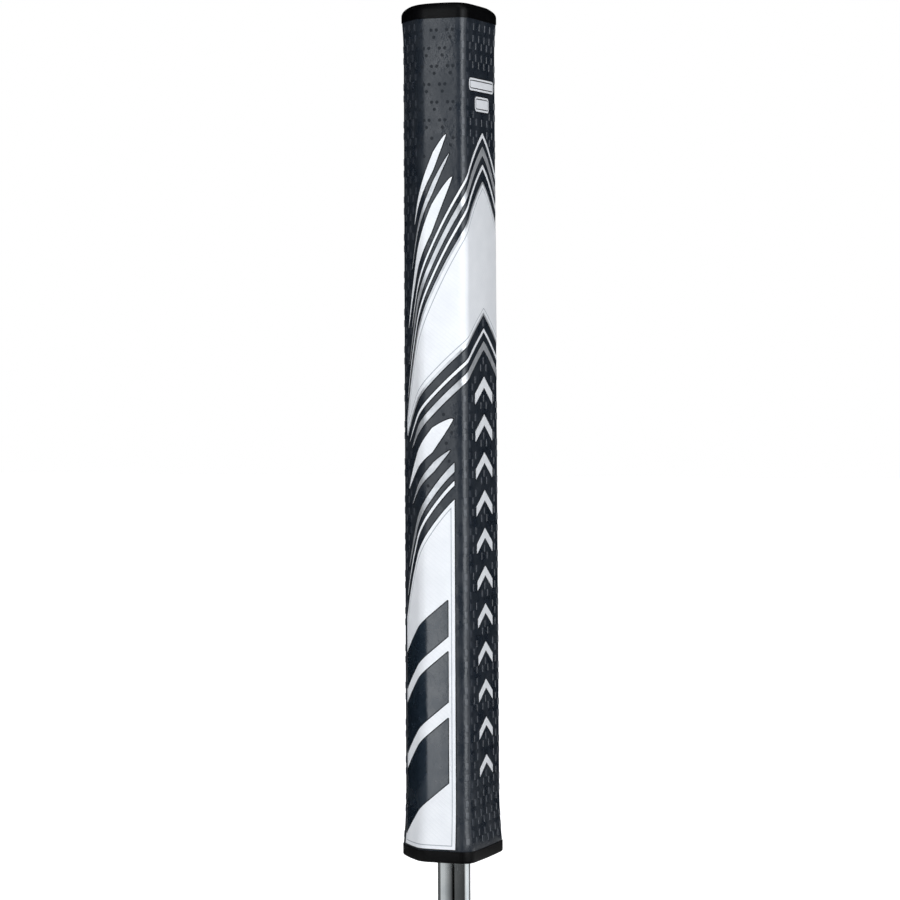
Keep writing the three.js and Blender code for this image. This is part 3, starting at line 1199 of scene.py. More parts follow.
def columns_of(band: Band, size: FilmSize) -> Array:
    """Spaces a film's columns: evenly along straight edges, and closer together where they bend.

    Args:
        band: the stretch that the film covers.
        size: how it is meshed.

    Returns:
        The columns' places along the way round.
    """
    step = np.diff(band.ways)
    load = step / size.step_round
    for edge in (band.low, band.high):
        lean = np.degrees(np.arctan2(np.diff(edge), step))
        turning = np.abs(np.diff(lean)) / size.bend
        load[:-1] += turning / 2
        load[1:] += turning / 2
    total = np.concatenate([[0.0], np.cumsum(load)])
    count = 2 * max(1, math.ceil(total[-1] / 2))
    return np.interp(np.linspace(0, total[-1], count + 1), total, band.ways)


def film(name: str, band: Band, rise: float, size: FilmSize = FilmSize()) -> Piece:
    """Makes a band of film as a thin closed plate with rounded edges, still flat.

    Args:
        name: the new piece's name.
        band: the stretch that it covers.
        rise: how far its face stands off the skin.
        size: how it is meshed.

    Returns:
        The plate, in flat millimetres.
    """
    places = columns_of(band, size)
    columns = len(places) - 1
    rows = max(1, math.ceil(float(np.max(band.high - band.low)) / size.step_up))
    plate = grid(name, columns, rows)
    unit = points_of(plate)
    way = places[np.rint((unit[:, 0] + 0.5) * columns).astype(int)]
    low = np.interp(way, band.ways, band.low)
    high = np.maximum(np.interp(way, band.ways, band.high), low + LEAST_HEIGHT)
    height = low + (high - low) * (unit[:, 1] + 0.5)
    move_points(plate, np.column_stack([way, height, np.full(len(way), rise)]))
    with editing(plate):
        bpy.ops.mesh.select_all(action="SELECT")
        bpy.ops.mesh.extrude_region_move(TRANSFORM_OT_translate={"value": (0, 0, -rise - size.sink)})
        bpy.ops.mesh.select_all(action="SELECT")
        bpy.ops.mesh.normals_make_consistent(inside=False)
    if size.rim > 0:
        round_edges(plate, size.rim, size.rim_segments, angle=50)
    return plate


# ------------------------------ the wrap


def level(height: float) -> Edge:
    """An edge at one height."""
    return lambda way: np.full_like(way, height)


@dataclass
class WrapSheet:
    """A layer of the wrap: one sheet whose two edges meet on the ridge."""

    section: GripSection
    name: str
    depth: float  # how far its outer face lies under the skin's
    thickness: float
    seam: float = 0.4
    step_round: float = 0.5
    step_up: float = 3.0
    edge: float = 0.12
    edge_steps: int = 2
    samples: int = 2001

    def cut(self) -> tuple[float, float]:
        """Measures the flat sheet round its middle layer.

        Returns:
            The width and length that it is cut to, in metres.
        """
        way = np.linspace(-self.section.around / 2, self.section.around / 2, self.samples)
        height = np.full_like(way, (self.section.bottom + self.section.top) / 2)
        proud = np.full_like(way, -self.depth - self.thickness / 2)
        ring = self.section.lay(np.column_stack([way, height, proud]))
        round_it = float(np.linalg.norm(np.diff(ring, axis=0), axis=1).sum())
        return round_it - self.seam * MM, (self.section.top - self.section.bottom) * MM

    def build(self) -> Piece:
        """Makes the sheet flat, with rounded edges, and wraps it.

        Returns:
            The sheet, in place.
        """
        half = self.section.around / 2 - self.seam / 2
        sheet = Band.between(-half, half, level(self.section.bottom), level(self.section.top))
        sink = self.thickness + self.depth
        size = FilmSize(self.step_round, self.step_up, sink=sink, rim=self.edge, rim_segments=self.edge_steps)
        made = film(self.name, sheet, -self.depth, size)
        self.section.wrap(made)
        smooth(made, 25)
        return made


@dataclass(frozen=True)
class Line:
    """A stripe along an edge, in millimetres."""

    group: str
    above: float  # from the edge to its own lower side
    tall: float
    trim: float  # how much sooner than the edge it ends


@dataclass(frozen=True)
class Blade:
    """A pointed stripe along an edge, in millimetres."""

    group: str
    above: float
    tall: float
    start: float  # from the root of a side's prints to its two ends
    end: float


@dataclass
class Artwork:
    """The wrap's prints and foils: a plain design of slanted bands, bars and chevrons on both sides."""

    section: GripSection
    outline: float = 0.75  # the foil line round the white prints
    groove: float = 0.35  # the dark line outside the foil: painted shade for the groove along the print's edge
    border: float = 1.0  # white between the edge and the grey line inside it
    hairline: float = 0.3  # that grey line's width
    edge_rise: float = 0.03
    foil_rise: float = 0.06
    white_rise: float = 0.09
    hairline_rise: float = 0.11
    field_rise: float = 0.13
    bar_edge_rise: float = 0.15
    bar_rise: float = 0.16
    rail_rise: float = 0.02
    rail: tuple[float, float] = (-1.0, 0.4)  # where the rail lies, from the side's near edge
    rail_gap: float = 0.3  # from its ends to the skin's
    root_gap: float = 1.4  # from the side's near edge to its prints
    point: float = 6.0  # the length over which a line narrows
    waist_tip: float = 42.5  # how far round the white band comes
    waist_top: Fall = Fall(0, 241, 0.6, 0.0265)
    waist_under: Fall = Fall(0, 201, 0.55, 0.008)
    badge_corner: float = 1.5
    badge_margin: float = 0.6
    badge_sizes: tuple[tuple[float, float, float], ...] = (  # middle height, half width, half height
        (271.6, 11.8, 1.95),
        (265.7, 6.7, 2.3),
    )
    panel_foot: float = 0.6
    panel_gap: float = 5.2  # from the panel to the ridge
    panel_top: tuple[float, float, float] = (143, 0.9, 0.026)  # its height, lean and bend
    bar_slant: float = 0.8
    bar_inset: tuple[float, float] = (2.4, 0.6)  # from the panel's two sides
    # the dark line round each bar, painted shade for the groove at its edge
    bar_edge: float = 0.3
    bars: tuple[tuple[float, float], ...] = ((55.0, 20.0), (80.2, 15.5), (100.6, 11.0))  # foot, and how tall
    chevron_count: int = 11
    chevron_pitch: float = 11.75
    chevron_foot: float = 177.5
    chevron_slope: float = 0.62
    chevron_half: tuple[float, float] = (8.4, 0.22)  # half the first one's width, and the next one's loss
    chevron_thick: tuple[float, float] = (3.4, 0.09)  # the same for how tall the stroke is
    plates: dict[str, list[Piece]] = field(default_factory=dict)
    covered: list[Band] = field(default_factory=list)

    def __post_init__(self) -> None:
        """Reads where the section's faces start and end."""
        self.side_start = self.section.span(FRONT_CORNER)[1]
        self.ridge = self.section.around / 2
        self.root = self.side_start + self.root_gap

    def lay(self, group: str, band: Band, rise: float, both: bool = True) -> None:
        """Adds a band's film to a group of one finish.

        Args:
            group: the group's name.
            band: the stretch that the film covers.
            rise: how far its face stands off the skin.
            both: whether its twin is added on the other side.
        """
        for side in [band, band.flipped()] if both else [band]:
            name = f"{group}_{len(self.plates.get(group, []))}"
            self.plates.setdefault(group, []).append(film(name, side, rise))

    def cover(self, band: Band, both: bool = True) -> None:
        """Keeps the treads and dimples off a band."""
        self.covered += [band, band.flipped()] if both else [band]

    def bordered(self, band: Band, both: bool = True, foil: bool = True) -> None:
        """Lays a white print with its grey inner line, foil outline and a dark line of painted shade for the
        groove round it.

        Args:
            band: the white print.
            both: whether its twin is laid on the other side.
            foil: whether it has the foil outline.
        """
        outer = self.outline if foil else 0.0
        # the dark line round the print is painted shade for the groove along its edge
        edge = band.grown(outer + self.groove)
        self.cover(edge, both)
        self.lay("print_line_and_shade", edge, self.edge_rise, both)
        if foil:
            self.lay("print_foil", band.grown(outer), self.foil_rise, both)
        self.lay("print_white", band, self.white_rise, both)
        self.lay("print_hairline", band.grown(-self.border), self.hairline_rise, both)
        self.lay("print_white", band.grown(-self.border - self.hairline), self.field_rise, both)

    def stripe(self, group: str, band: Band, both: bool = True) -> None:
        """Lays a stripe of one finish on a dark line of painted shade for the groove round it.

        Args:
            group: the finish's group.
            band: the stripe.
            both: whether its twin is laid on the other side.
        """
        # the dark line round the stripe is painted shade for the groove along its edge
        edge = band.grown(self.groove)
        self.cover(edge, both)
        self.lay("print_line_and_shade", edge, self.edge_rise, both)
        self.lay(group, band, self.white_rise, both)

    def corner_rails(self) -> None:
        """The smooth rail along each front corner."""
        low, high = level(self.section.bottom + self.rail_gap), level(self.section.top - self.rail_gap)
        start, end = (self.side_start + way for way in self.rail)
        self.lay("print_rail", Band.between(start, end, low, high), self.rail_rise)

    def waist(self) -> None:
        """The white band over the front and both sides, with lines and blades that run along it.

        It is highest in the middle of the front, and falls to a point on each back face.
        """
        tip, top, under = self.waist_tip, self.waist_top, self.waist_under
        self.bordered(Band.between(-tip, tip, mirrored(under), mirrored(top)), both=False)
        for edge, line in (
            (top, Line("print_white", 4.7, 1.4, 0.5)),
            (top, Line("print_foil", 8.9, 2.8, 2.5)),
            (top, Line("print_white", 14.5, 1.4, 5.0)),
            (under, Line("print_white", -6.2, 1.2, 2.5)),
            (under, Line("print_foil", -11.6, 2.6, 5.0)),
        ):
            low = mirrored(raised(edge, line.above))
            high = mirrored(raised(edge, line.above + line.tall))
            stripe = Band.between(line.trim - tip, tip - line.trim, low, high)
            self.stripe(line.group, stripe.tapered(self.point, self.point), both=False)
        for edge, blade in (
            (top, Blade("print_white", 19.5, 8.5, 0.4, 21.5)),
            (top, Blade("print_foil", 31.0, 3.2, 1.4, 18.0)),
            (top, Blade("print_white", 37.5, 5.6, 2.4, 15.5)),
            (under, Blade("print_white", -23.0, 7.6, 0.4, 21.5)),
            (under, Blade("print_foil", -29.5, 3.0, 1.4, 18.0)),
        ):
            low, high = raised(edge, blade.above), raised(edge, blade.above + blade.tall)
            stripe = Band.between(self.root + blade.start, self.root + blade.end, low, high)
            length = blade.end - blade.start
            self.stripe(blade.group, stripe.tapered(length / 3, length * 2 / 3))

    def badges(self) -> None:
        """Two plain badges near the top of the front, bare but for a thin line inside their edges."""
        corner, margin = self.badge_corner, self.badge_margin
        for middle, half_width, half_height in self.badge_sizes:
            low, high = level(middle - half_height + corner), level(middle + half_height - corner)
            plate = Band.between(corner - half_width, half_width - corner, low, high).grown(corner)
            self.stripe("print_white", plate, both=False)
            # a printed thin dark line inside the badge's edge, in the same finish as the painted shade lines
            self.lay("print_line_and_shade", plate.grown(-margin), self.hairline_rise, both=False)
            self.lay("print_white", plate.grown(-margin - self.hairline), self.field_rise, both=False)

    def panel(self) -> None:
        """The white lower panel on each side, with its slanted slate bars."""
        start, end = self.root, self.ridge - self.panel_gap
        foot = self.section.bottom + self.panel_foot
        top = Fall(start, *self.panel_top)
        self.bordered(Band.between(start, end, level(foot), top), foil=False)
        for line in (Line("print_white", 4.4, 1.4, 1.0), Line("print_foil", 8.6, 2.8, 3.0)):
            low, high = raised(top, line.above), raised(top, line.above + line.tall)
            stripe = Band.between(start, end - line.trim, low, high)
            self.stripe(line.group, stripe.tapered(0, self.point))
        left, right = start + self.bar_inset[0], end - self.bar_inset[1]
        for low, tall in self.bars:
            edges = [lambda way, z=z: z - self.bar_slant * (way - left) for z in (low, low + tall)]
            bar = Band.between(left, right, *edges)
            # the dark line round each bar is painted shade for the groove at its edge
            self.lay("print_line_and_shade", bar.grown(self.bar_edge), self.bar_edge_rise)
            self.lay("print_bar", bar, self.bar_rise)

    def chevrons(self) -> None:
        """A column of plain chevrons down the middle of the front, which get smaller downwards."""
        for k in range(self.chevron_count):
            half = self.chevron_half[0] - self.chevron_half[1] * k
            foot = self.chevron_foot - self.chevron_pitch * k
            thick = self.chevron_thick[0] - self.chevron_thick[1] * k
            edges = [lambda way, z=z: z - self.chevron_slope * np.abs(way) for z in (foot, foot + thick)]
            self.stripe("print_white", Band.between(-half, half, *edges), both=False)

    def build(self) -> None:
        """Draws the design, joins each finish's films and wraps them."""
        self.corner_rails()
        self.waist()
        self.badges()
        self.panel()
        self.chevrons()
        finishes = {
            "print_rail": SKIN,
            # the dark lines of painted groove shade, and the badges' printed inner lines
            "print_line_and_shade": LINE_AND_SHADE_PRINT,
            "print_foil": SILVER_FOIL,
            "print_white": WHITE_PRINT,
            "print_hairline": GREY_PRINT,
            "print_bar": BAR_PRINT,
        }
        for group, plates in self.plates.items():
            piece = join(group, plates)
            self.section.wrap(piece)
            smooth(piece, 25)
            finish_piece(piece, finishes[group], Body.HANDLE, "printed_polyurethane")


@dataclass
class Tread:
    """Rows of raised pads on the front and back faces, and dimples in threes on the sides."""

    section: GripSection
    covered: list[Band]
    sink: float = 0.1
    top_row: float = 2.4  # the first row's middle under the skin's upper edge
    end_gap: float = 1.7
    pad_width: float = 1.4
    pad_length: float = 2.3
    pad_rise: float = 0.13
    pad_margin: float = 1.2
    pad_face: tuple[float, float] = (0.8, 0.88)  # its face's share of its foot
    pad_edge: float = 0.06  # its edges' rounding, before it is given its size
    front_gap: float = 1.9  # from the pads to the far end of the front corner's rounding
    back_gap: float = 1.0  # from the shoulder's rounding to the pads
    ridge_gap: float = 1.6
    pitch_round: float = 5.2
    pitch_up: float = 11.75
    pair_gap: float = 3.6  # from one pad to the next in a pair
    shift_up: float = 5.9  # from a pair to the next, half a pitch round
    dimple_radius: float = 0.55
    dimple_rise: float = 0.02
    dimple_margin: float = 1.2
    dimple_pitch_round: float = 5.4
    dimple_pitch_up: float = 11.1
    dimple_start: float = 2.25  # the first column's way past the side's near edge
    dimple_top_row: float = 3.7
    dimple_rim: float = 0.4  # its share of the radius
    dimple_gaps: tuple[float, float] = (0.9, 2.6)  # from the side's near edge, and past its far one
    three: tuple[tuple[float, float], ...] = ((-0.9, 0.0), (0.9, 0.0), (0.0, -2.2))

    def pad(self) -> Piece:
        """Models one pad: a block with sloped sides and a rounded face.

        Returns:
            The pad, flat about the origin, in millimetres.
        """
        deselect()
        bpy.ops.mesh.primitive_cube_add(size=1)
        pad = bpy.context.object
        pick_faces(pad, lambda middle: middle.z > 0.4)
        with editing(pad):
            bpy.ops.transform.resize(value=(*self.pad_face, 1))
            bpy.ops.mesh.bevel(offset=self.pad_edge, segments=2, affect="EDGES")
        tall = self.pad_rise + self.sink
        points = points_of(pad) * (self.pad_width, self.pad_length, tall)
        move_points(pad, points + (0, 0, tall / 2 - self.sink))
        return pad

    def dimple(self) -> Piece:
        """Models one dimple: a low rim round a sunken dish.

        Returns:
            The dimple, flat about the origin, in millimetres.
        """
        deselect()
        tall = self.dimple_rise + self.sink
        bpy.ops.mesh.primitive_cylinder_add(vertices=12, radius=self.dimple_radius, depth=tall)
        dimple = bpy.context.object
        pick_faces(dimple, lambda middle: middle.z > tall * 0.4)
        with editing(dimple):
            bpy.ops.mesh.inset(thickness=self.dimple_radius * self.dimple_rim, depth=-self.dimple_rise / 2)
        move_points(dimple, points_of(dimple) + (0, 0, self.dimple_rise - tall / 2))
        return dimple

    def copies(self, name: str, one: Piece, places: Pairs) -> Piece:
        """Joins a copy of a piece at each flat place, and uses the piece up.

        Args:
            name: the joined piece's name.
            one: the piece.
            places: the copies' (round, height) places.

        Returns:
            The joined piece.
        """
        made = []
        for place in places:
            twin = one.copy()
            twin.data = one.data.copy()
            bpy.context.scene.collection.objects.link(twin)
            move_points(twin, points_of(one) + (*place, 0))
            made.append(twin)
        bpy.data.objects.remove(one)
        return join(name, made)

    def repeat(self, cell: Piece, step: tuple[float, float, float], count: int) -> None:
        """Repeats a cell in a line."""
        apply_modifier(
            cell,
            "ARRAY",
            count=count,
            use_relative_offset=False,
            use_constant_offset=True,
            constant_offset_displace=step,
        )

    def prune(self, piece: Piece, one: int, margin: float, keep: Callable[[Array], Array]) -> None:
        """Deletes the copies that lie near a print, or whose middles a test doesn't keep.

        Args:
            piece: a flat piece made of equal copies.
            one: the points in a copy.
            margin: the least way from a copy's middle to a print.
            keep: the test, on how far the middles lie from the middle of the front.
        """
        middles = points_of(piece).reshape(-1, one, 3).mean(axis=1)
        wanted = keep(np.abs(middles[:, 0]))
        wanted &= middles[:, 1] > self.section.bottom + self.end_gap
        wanted &= middles[:, 1] < self.section.top - self.end_gap
        for band in self.covered:
            wanted &= ~band.holds(middles, margin)
        pick_points(piece, np.repeat(~wanted, one))
        with editing(piece):
            bpy.ops.mesh.delete(type="VERT")

    def pads(self) -> Piece:
        """Models all the pads of the front and back faces.

        Returns:
            The pads as one piece, flat.
        """
        half, gap, shift = self.pitch_round / 2, self.pair_gap, self.shift_up
        one = self.pad()
        size = len(one.data.vertices)
        cell = self.copies("tread_pads", one, [(half, 0), (half, -gap), (0, -shift), (0, -shift - gap)])
        columns = 2 * math.floor(self.section.around / 2 / self.pitch_round) + 1
        rows = math.ceil((self.section.top - self.section.bottom) / self.pitch_up) + 1
        first = (-columns // 2 * self.pitch_round, self.section.top - self.top_row, 0)
        move_points(cell, points_of(cell) + first)
        self.repeat(cell, (self.pitch_round, 0, 0), columns + 1)
        self.repeat(cell, (0, -self.pitch_up, 0), rows)
        front = self.section.span(FRONT_CORNER)[1] - self.front_gap
        back = self.section.span(SHOULDER)[1] - self.back_gap
        ridge = self.section.around / 2 - self.ridge_gap
        self.prune(cell, size, self.pad_margin, lambda way: (way < front) | ((way > back) & (way < ridge)))
        return cell

    def dimples(self) -> Piece:
        """Models all the dimples of the two side faces, in threes.

        Returns:
            The dimples as one piece, flat.
        """
        near = self.section.span(FRONT_CORNER)[1] + self.dimple_gaps[0]
        far = self.section.span(SHOULDER)[0] + self.dimple_gaps[1]
        rows = math.ceil((self.section.top - self.section.bottom) / self.dimple_pitch_up) + 1
        columns = math.ceil((far - near) / self.dimple_pitch_round) + 1
        sides = []
        for side in (1, -1):
            one = self.dimple()
            size = len(one.data.vertices)
            half = self.dimple_pitch_round / 2
            offsets = ((0.0, 0.0), (half, -self.dimple_pitch_up / 2))
            places = [(side * a + x, b + z) for a, b in offsets for x, z in self.three]
            cell = self.copies("tread_dimples", one, places)
            start = side * (self.section.span(FRONT_CORNER)[1] + self.dimple_start - self.dimple_pitch_round)
            move_points(cell, points_of(cell) + (start, self.section.top - self.dimple_top_row, 0))
            self.repeat(cell, (side * self.dimple_pitch_round, 0, 0), columns)
            self.repeat(cell, (0, -self.dimple_pitch_up, 0), rows)
            self.prune(cell, size, self.dimple_margin, lambda way: (way > near) & (way < far))
            sides.append(cell)
        return join("tread_dimples", sides)

    def build(self) -> None:
        """Makes the treads flat and wraps them."""
        # the pads' paler colour is partly a painted highlight; the dimples' darker colour is painted shade
        for piece, finish in ((self.pads(), PAD_TONE_AND_HIGHLIGHT), (self.dimples(), DIMPLE_TONE_AND_SHADE)):
            self.section.wrap(piece)
            smooth(piece, 30)
            finish_piece(piece, finish, Body.HANDLE, "printed_polyurethane")


# ------------------------------ caps, port and shaft


@dataclass(frozen=True)
class Rounding:
    """How a cap rounds off to its outer face, in millimetres."""

    across: float
    down: float
    blend: float = 0.0  # how far each way round its corners are evened out at the face
    steps: int = 9


@dataclass
class EndCaps:
    """The rubber caps at the mouth and the butt."""

    section: GripSection
    overhang: float = 0.2
    mouth_rounding: Rounding = Rounding(across=0.8, down=0.8, steps=5)
    butt_rounding: Rounding = Rounding(across=2.4, down=2.9, blend=9.0)
    mouth_spigot_radius: float = 7.55
    butt_spigot_radius: float = 7.8
    mouth_hole: float = 5.35
    port_radius: float = 6.3
    recess_radius: float = 7.3
    recess_depth: float = 3.5
    lip: float = 0.35  # the chamfer round the holes
    steps: int = 240
    hole_steps: int = 96

    def flange(self, name: str, joint: float, face: float, rounding: Rounding) -> Piece:
        """A cap's body: rings of the section's outline, drawn out and rounded round its outer face.

        Args:
            name: the new piece's name.
            joint: the height of its flat joint with the skin, in millimetres.
            face: the height of its outer face.
            rounding: how it rounds off round that face.

        Returns:
            The flange, in metres.
        """
        offset = float(self.section.offset(np.array([joint]))[0]) + self.overhang
        away = math.copysign(1, face - joint)
        bends = np.linspace(0, np.pi / 2, rounding.steps + 1)
        levels = [joint, *(face - away * rounding.down * (1 - np.sin(bends)))]
        shares = [0.0, *(1 - np.cos(bends))]
        rows = len(levels) - 1
        cap = grid(name, self.steps, rows)
        unit = points_of(cap) + 0.5
        column = np.rint(unit[:, 0] * self.steps).astype(int) % self.steps
        row = np.rint(unit[:, 1] * rows).astype(int)
        reach = round(rounding.blend / self.section.around * self.steps)
        rings = []
        for height, share in zip(levels, shares):
            ring = self.section.outline(offset - rounding.across * share, joint, self.steps)
            near = [np.roll(ring, shift, axis=0) for shift in range(-reach, reach + 1)]
            ring = ring + (np.mean(near, axis=0) - ring) * share
            ring[:, 2] = height * MM
            rings.append(ring)
        move_points(cap, np.array(rings)[row, column])
        close_ends(cap)
        return cap

    def bored(self, radius: float, bottom: float, top: float, lip_at: float) -> Piece:
        """Turns a cutter for a round hole with a chamfered lip.

        Args:
            radius: the hole's radius, in millimetres.
            bottom: the height of the cutter's lower end.
            top: the height of its upper end.
            lip_at: the height of the lip.

        Returns:
            The cutter, in metres.
        """
        away = math.copysign(self.lip, lip_at - (bottom + top) / 2)
        widest = (lip_at + away, radius + 2 * self.lip)
        levels = sorted([(bottom, radius), (top, radius), (lip_at - away, radius), widest])
        closed = [(levels[0][0], 0.0), *levels, (levels[-1][0], 0.0)]
        return turned("cutter", [(r, z) for z, r in closed], self.hole_steps)

    def spigot(self, radius: float, bottom: float, top: float) -> Piece:
        """A spigot's solid round, before its hole is cut."""
        return turned("spigot", [(0, bottom), (radius, bottom), (radius, top), (0, top)], self.hole_steps)

    def mouth(self) -> Piece:
        """Models the cap at the mouth, round the shaft.

        Returns:
            The cap.
        """
        face, spigot_top = heights_of("mouth_cap")
        joint = self.section.bottom
        cap = self.flange("mouth_cap_moulding", joint, face, self.mouth_rounding)
        cut(cap, self.spigot(self.mouth_spigot_radius, joint - 1, spigot_top), Cut.TOGETHER)
        cut(cap, self.bored(self.mouth_hole, face - 2, spigot_top + 1, face))
        return cap

    def butt(self) -> Piece:
        """Models the cap at the butt, with the recess for its port.

        Returns:
            The cap.
        """
        spigot_bottom, face = heights_of("butt_cap")
        joint = self.section.top
        cap = self.flange("butt_cap_moulding", joint, face, self.butt_rounding)
        cut(cap, self.spigot(self.butt_spigot_radius, spigot_bottom, joint + 1), Cut.TOGETHER)
        cut(cap, self.bored(self.port_radius, spigot_bottom - 1, face + 1, spigot_bottom))
        cut(cap, self.bored(self.recess_radius, face - self.recess_depth, face + 1, face))
        return cap

    def build(self) -> None:
        """Makes both caps."""
        for cap, node in ((self.mouth(), "mouth_cap"), (self.butt(), "butt_cap")):
            face_outwards(cap)
            smooth(cap)
            finish_piece(cap, CAP_RUBBER, Body.HANDLE, "cap_rubber", node)


@dataclass
class ShaftTube:
    """The steel shaft's upper end, parallel below the mouth and tapered above it."""

    wall: float = 0.5
    radii: tuple[float, float] = (5.15, 7.365)  # under its taper, and at the butt
    segments: int = 128
    hold: float = 1.0  # the rings beside each bend that keep the shading of the straight part straight
    chamfer: float = 0.1

    def taper(self) -> tuple[float, float]:
        """The heights at which its taper starts and ends."""
        return heights_of("mouth_cap")[1], heights_of("shaft")[1]

    def build(self) -> None:
        """Turns the tube, with its cut ends broken by a small chamfer."""
        bottom = heights_of("shaft")[0]
        start, top = self.taper()
        narrow, wide = self.radii
        levels = (bottom, bottom + self.hold, start - self.hold, start)
        outside = [*((narrow, z) for z in levels), (wide, top)]
        inside = [(radius - self.wall, z) for radius, z in reversed(outside)]
        tube = turned("shaft_tube", [*outside, *inside], self.segments)
        round_edges(tube, self.chamfer * MM, angle=60)
        smooth(tube, 40)
        finish_piece(tube, CHROME, Body.HANDLE, "chromed_steel", "shaft")


@dataclass
class Port:
    """The butt's port: a threaded insert, its plug and the plug's seal."""

    thread_radius: float = 5.0
    thread_depth: float = 0.8
    pitch: float = 2.0
    turns: int = 4
    clearance: float = 0.3
    wall: float = 0.9
    crest: float = 0.22
    root: float = 0.55
    segments: int = 96
    steps_per_turn: int = 48
    overlap: float = 0.1  # how far a thread's root goes into its barrel or shank
    runout: float = 0.6  # from the insert's thread to its two ends
    fade: int = 12  # the steps over which a thread rises at its ends
    least: float = 0.1  # the share of its height that it starts with
    flange_thickness: float = 1.1
    insert_edge: float = 0.15
    slot: tuple[float, float, float] = (8.4, 1.7, 1.0)
    slot_edge: float = 0.35
    head_thickness: float = 1.8
    head_edge: float = 0.18
    groove_radius: float = 6.15  # the middle of the groove under the head, for the seal
    groove_half: float = 0.65
    groove_depth: float = 0.95
    shank_wall: float = 1.6
    shank_floor: float = 1.4
    mould_line: float = 0.03  # the seal's, as a share of its section's radius

    def ridge(self, foot: float, top: float) -> list[tuple[float, float]]:
        """A thread's section, from the radius of its foot to that of its crest."""
        wide, narrow = self.pitch * self.root / 2, self.pitch * self.crest / 2
        return [(foot, -wide), (top, -narrow), (top, narrow), (foot, wide)]

    def helix(self, name: str, section: Pairs, bottom: float, turns: float) -> Piece:
        """Winds a thread's ridge.

        Args:
            name: the new piece's name.
            section: the ridge's (radius, height) corners in millimetres, from its foot.
            bottom: the height at which it starts.
            turns: how many turns it climbs.

        Returns:
            The closed ridge, in metres.
        """
        count = len(section)
        total = round(turns * self.steps_per_turn)
        ridge = grid(name, total, count)
        unit = points_of(ridge)
        step = np.rint((unit[:, 0] + 0.5) * total)
        corner = np.rint((unit[:, 1] + 0.5) * count).astype(int) % count
        shape = np.array(section)
        foot = shape[0, 0]
        risen = np.interp(np.minimum(step, total - step), (0, self.fade), (self.least, 1))
        radius = foot + (shape[corner, 0] - foot) * risen
        angle = 2 * np.pi * step / self.steps_per_turn
        height = bottom + self.pitch * step / self.steps_per_turn + shape[corner, 1]
        places = np.column_stack([radius * np.cos(angle), radius * np.sin(angle), height]) * MM
        move_points(ridge, places)
        with editing(ridge):
            bpy.ops.mesh.select_all(action="SELECT")
            bpy.ops.mesh.remove_doubles(threshold=WELD)
            bpy.ops.mesh.select_all(action="DESELECT")
            bpy.context.tool_settings.mesh_select_mode = Pick.EDGES.value
            bpy.ops.mesh.select_non_manifold()
            bpy.ops.mesh.edge_face_add()
            bpy.ops.mesh.select_all(action="SELECT")
            bpy.ops.mesh.normals_make_consistent(inside=False)
        return ridge

    def insert(self) -> Piece:
        """Models the aluminium insert: a barrel and flange, with the thread standing in its bore.

        Returns:
            The insert.
        """
        bottom, top = heights_of("port_insert")
        bore = self.thread_radius + self.clearance
        outer = bore + self.wall
        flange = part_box("port_insert")[1].x / MM
        under = top - self.flange_thickness
        barrel = [(bore, bottom), (outer, bottom), (outer, under)]
        profile = [*barrel, (flange, under), (flange, top), (bore, top)]
        body = turned("port_insert_turning", profile, self.segments)
        round_edges(body, self.insert_edge * MM, angle=60)
        ridge = self.ridge(bore + self.overlap, bore - self.thread_depth)
        thread_bottom = self.thread_bottom() - self.pitch / 2
        climbs = math.floor((top - self.runout - thread_bottom) / self.pitch)
        below = math.floor((thread_bottom - bottom - self.runout) / self.pitch)
        thread = self.helix("port_insert_thread", ridge, thread_bottom - below * self.pitch, climbs + below)
        made = join("port_insert_turning", [body, thread])
        smooth(made)
        return made

    def thread_bottom(self) -> float:
        """The height at which the plug's thread starts."""
        return heights_of("port_plug")[0] + self.pitch * self.root / 2

    def plug(self) -> Piece:
        """Models the nylon plug: a slotted head, a hollow shank and its thread.

        Returns:
            The plug.
        """
        bottom, top = heights_of("port_plug")
        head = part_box("port_plug")[1].x / MM
        under = top - self.head_thickness
        shank = self.thread_radius - self.thread_depth
        hollow = shank - self.shank_wall
        floor = top - self.slot[2] - self.shank_floor
        near, far = self.groove_radius - self.groove_half, self.groove_radius + self.groove_half
        deep = under + self.groove_depth
        profile = [
            (0, floor),
            (hollow, floor),
            (hollow, bottom),
            (shank, bottom),
            (shank, under),
            (near, under),
            (near, deep),
            (far, deep),
            (far, under),
            (head, under),
            (head, top),
            (0, top),
        ]
        body = turned("port_plug_moulding", profile, self.segments)
        deselect()
        bpy.ops.mesh.primitive_cube_add(size=1)
        slot = bpy.context.object
        with editing(slot):
            bpy.ops.mesh.select_all(action="SELECT")
            size = (self.slot[0] * MM, self.slot[1] * MM, 2 * self.slot[2] * MM)
            bpy.ops.transform.resize(value=size)
            bpy.ops.transform.translate(value=(0, 0, top * MM))
        round_edges(slot, self.slot_edge * MM, segments=3, angle=60)
        cut(body, slot)
        round_edges(body, self.head_edge * MM, angle=50)
        ridge = self.ridge(shank - self.overlap, self.thread_radius)
        thread = self.helix("port_plug_thread", ridge, self.thread_bottom(), self.turns)
        made = join("port_plug_moulding", [body, thread])
        smooth(made)
        return made

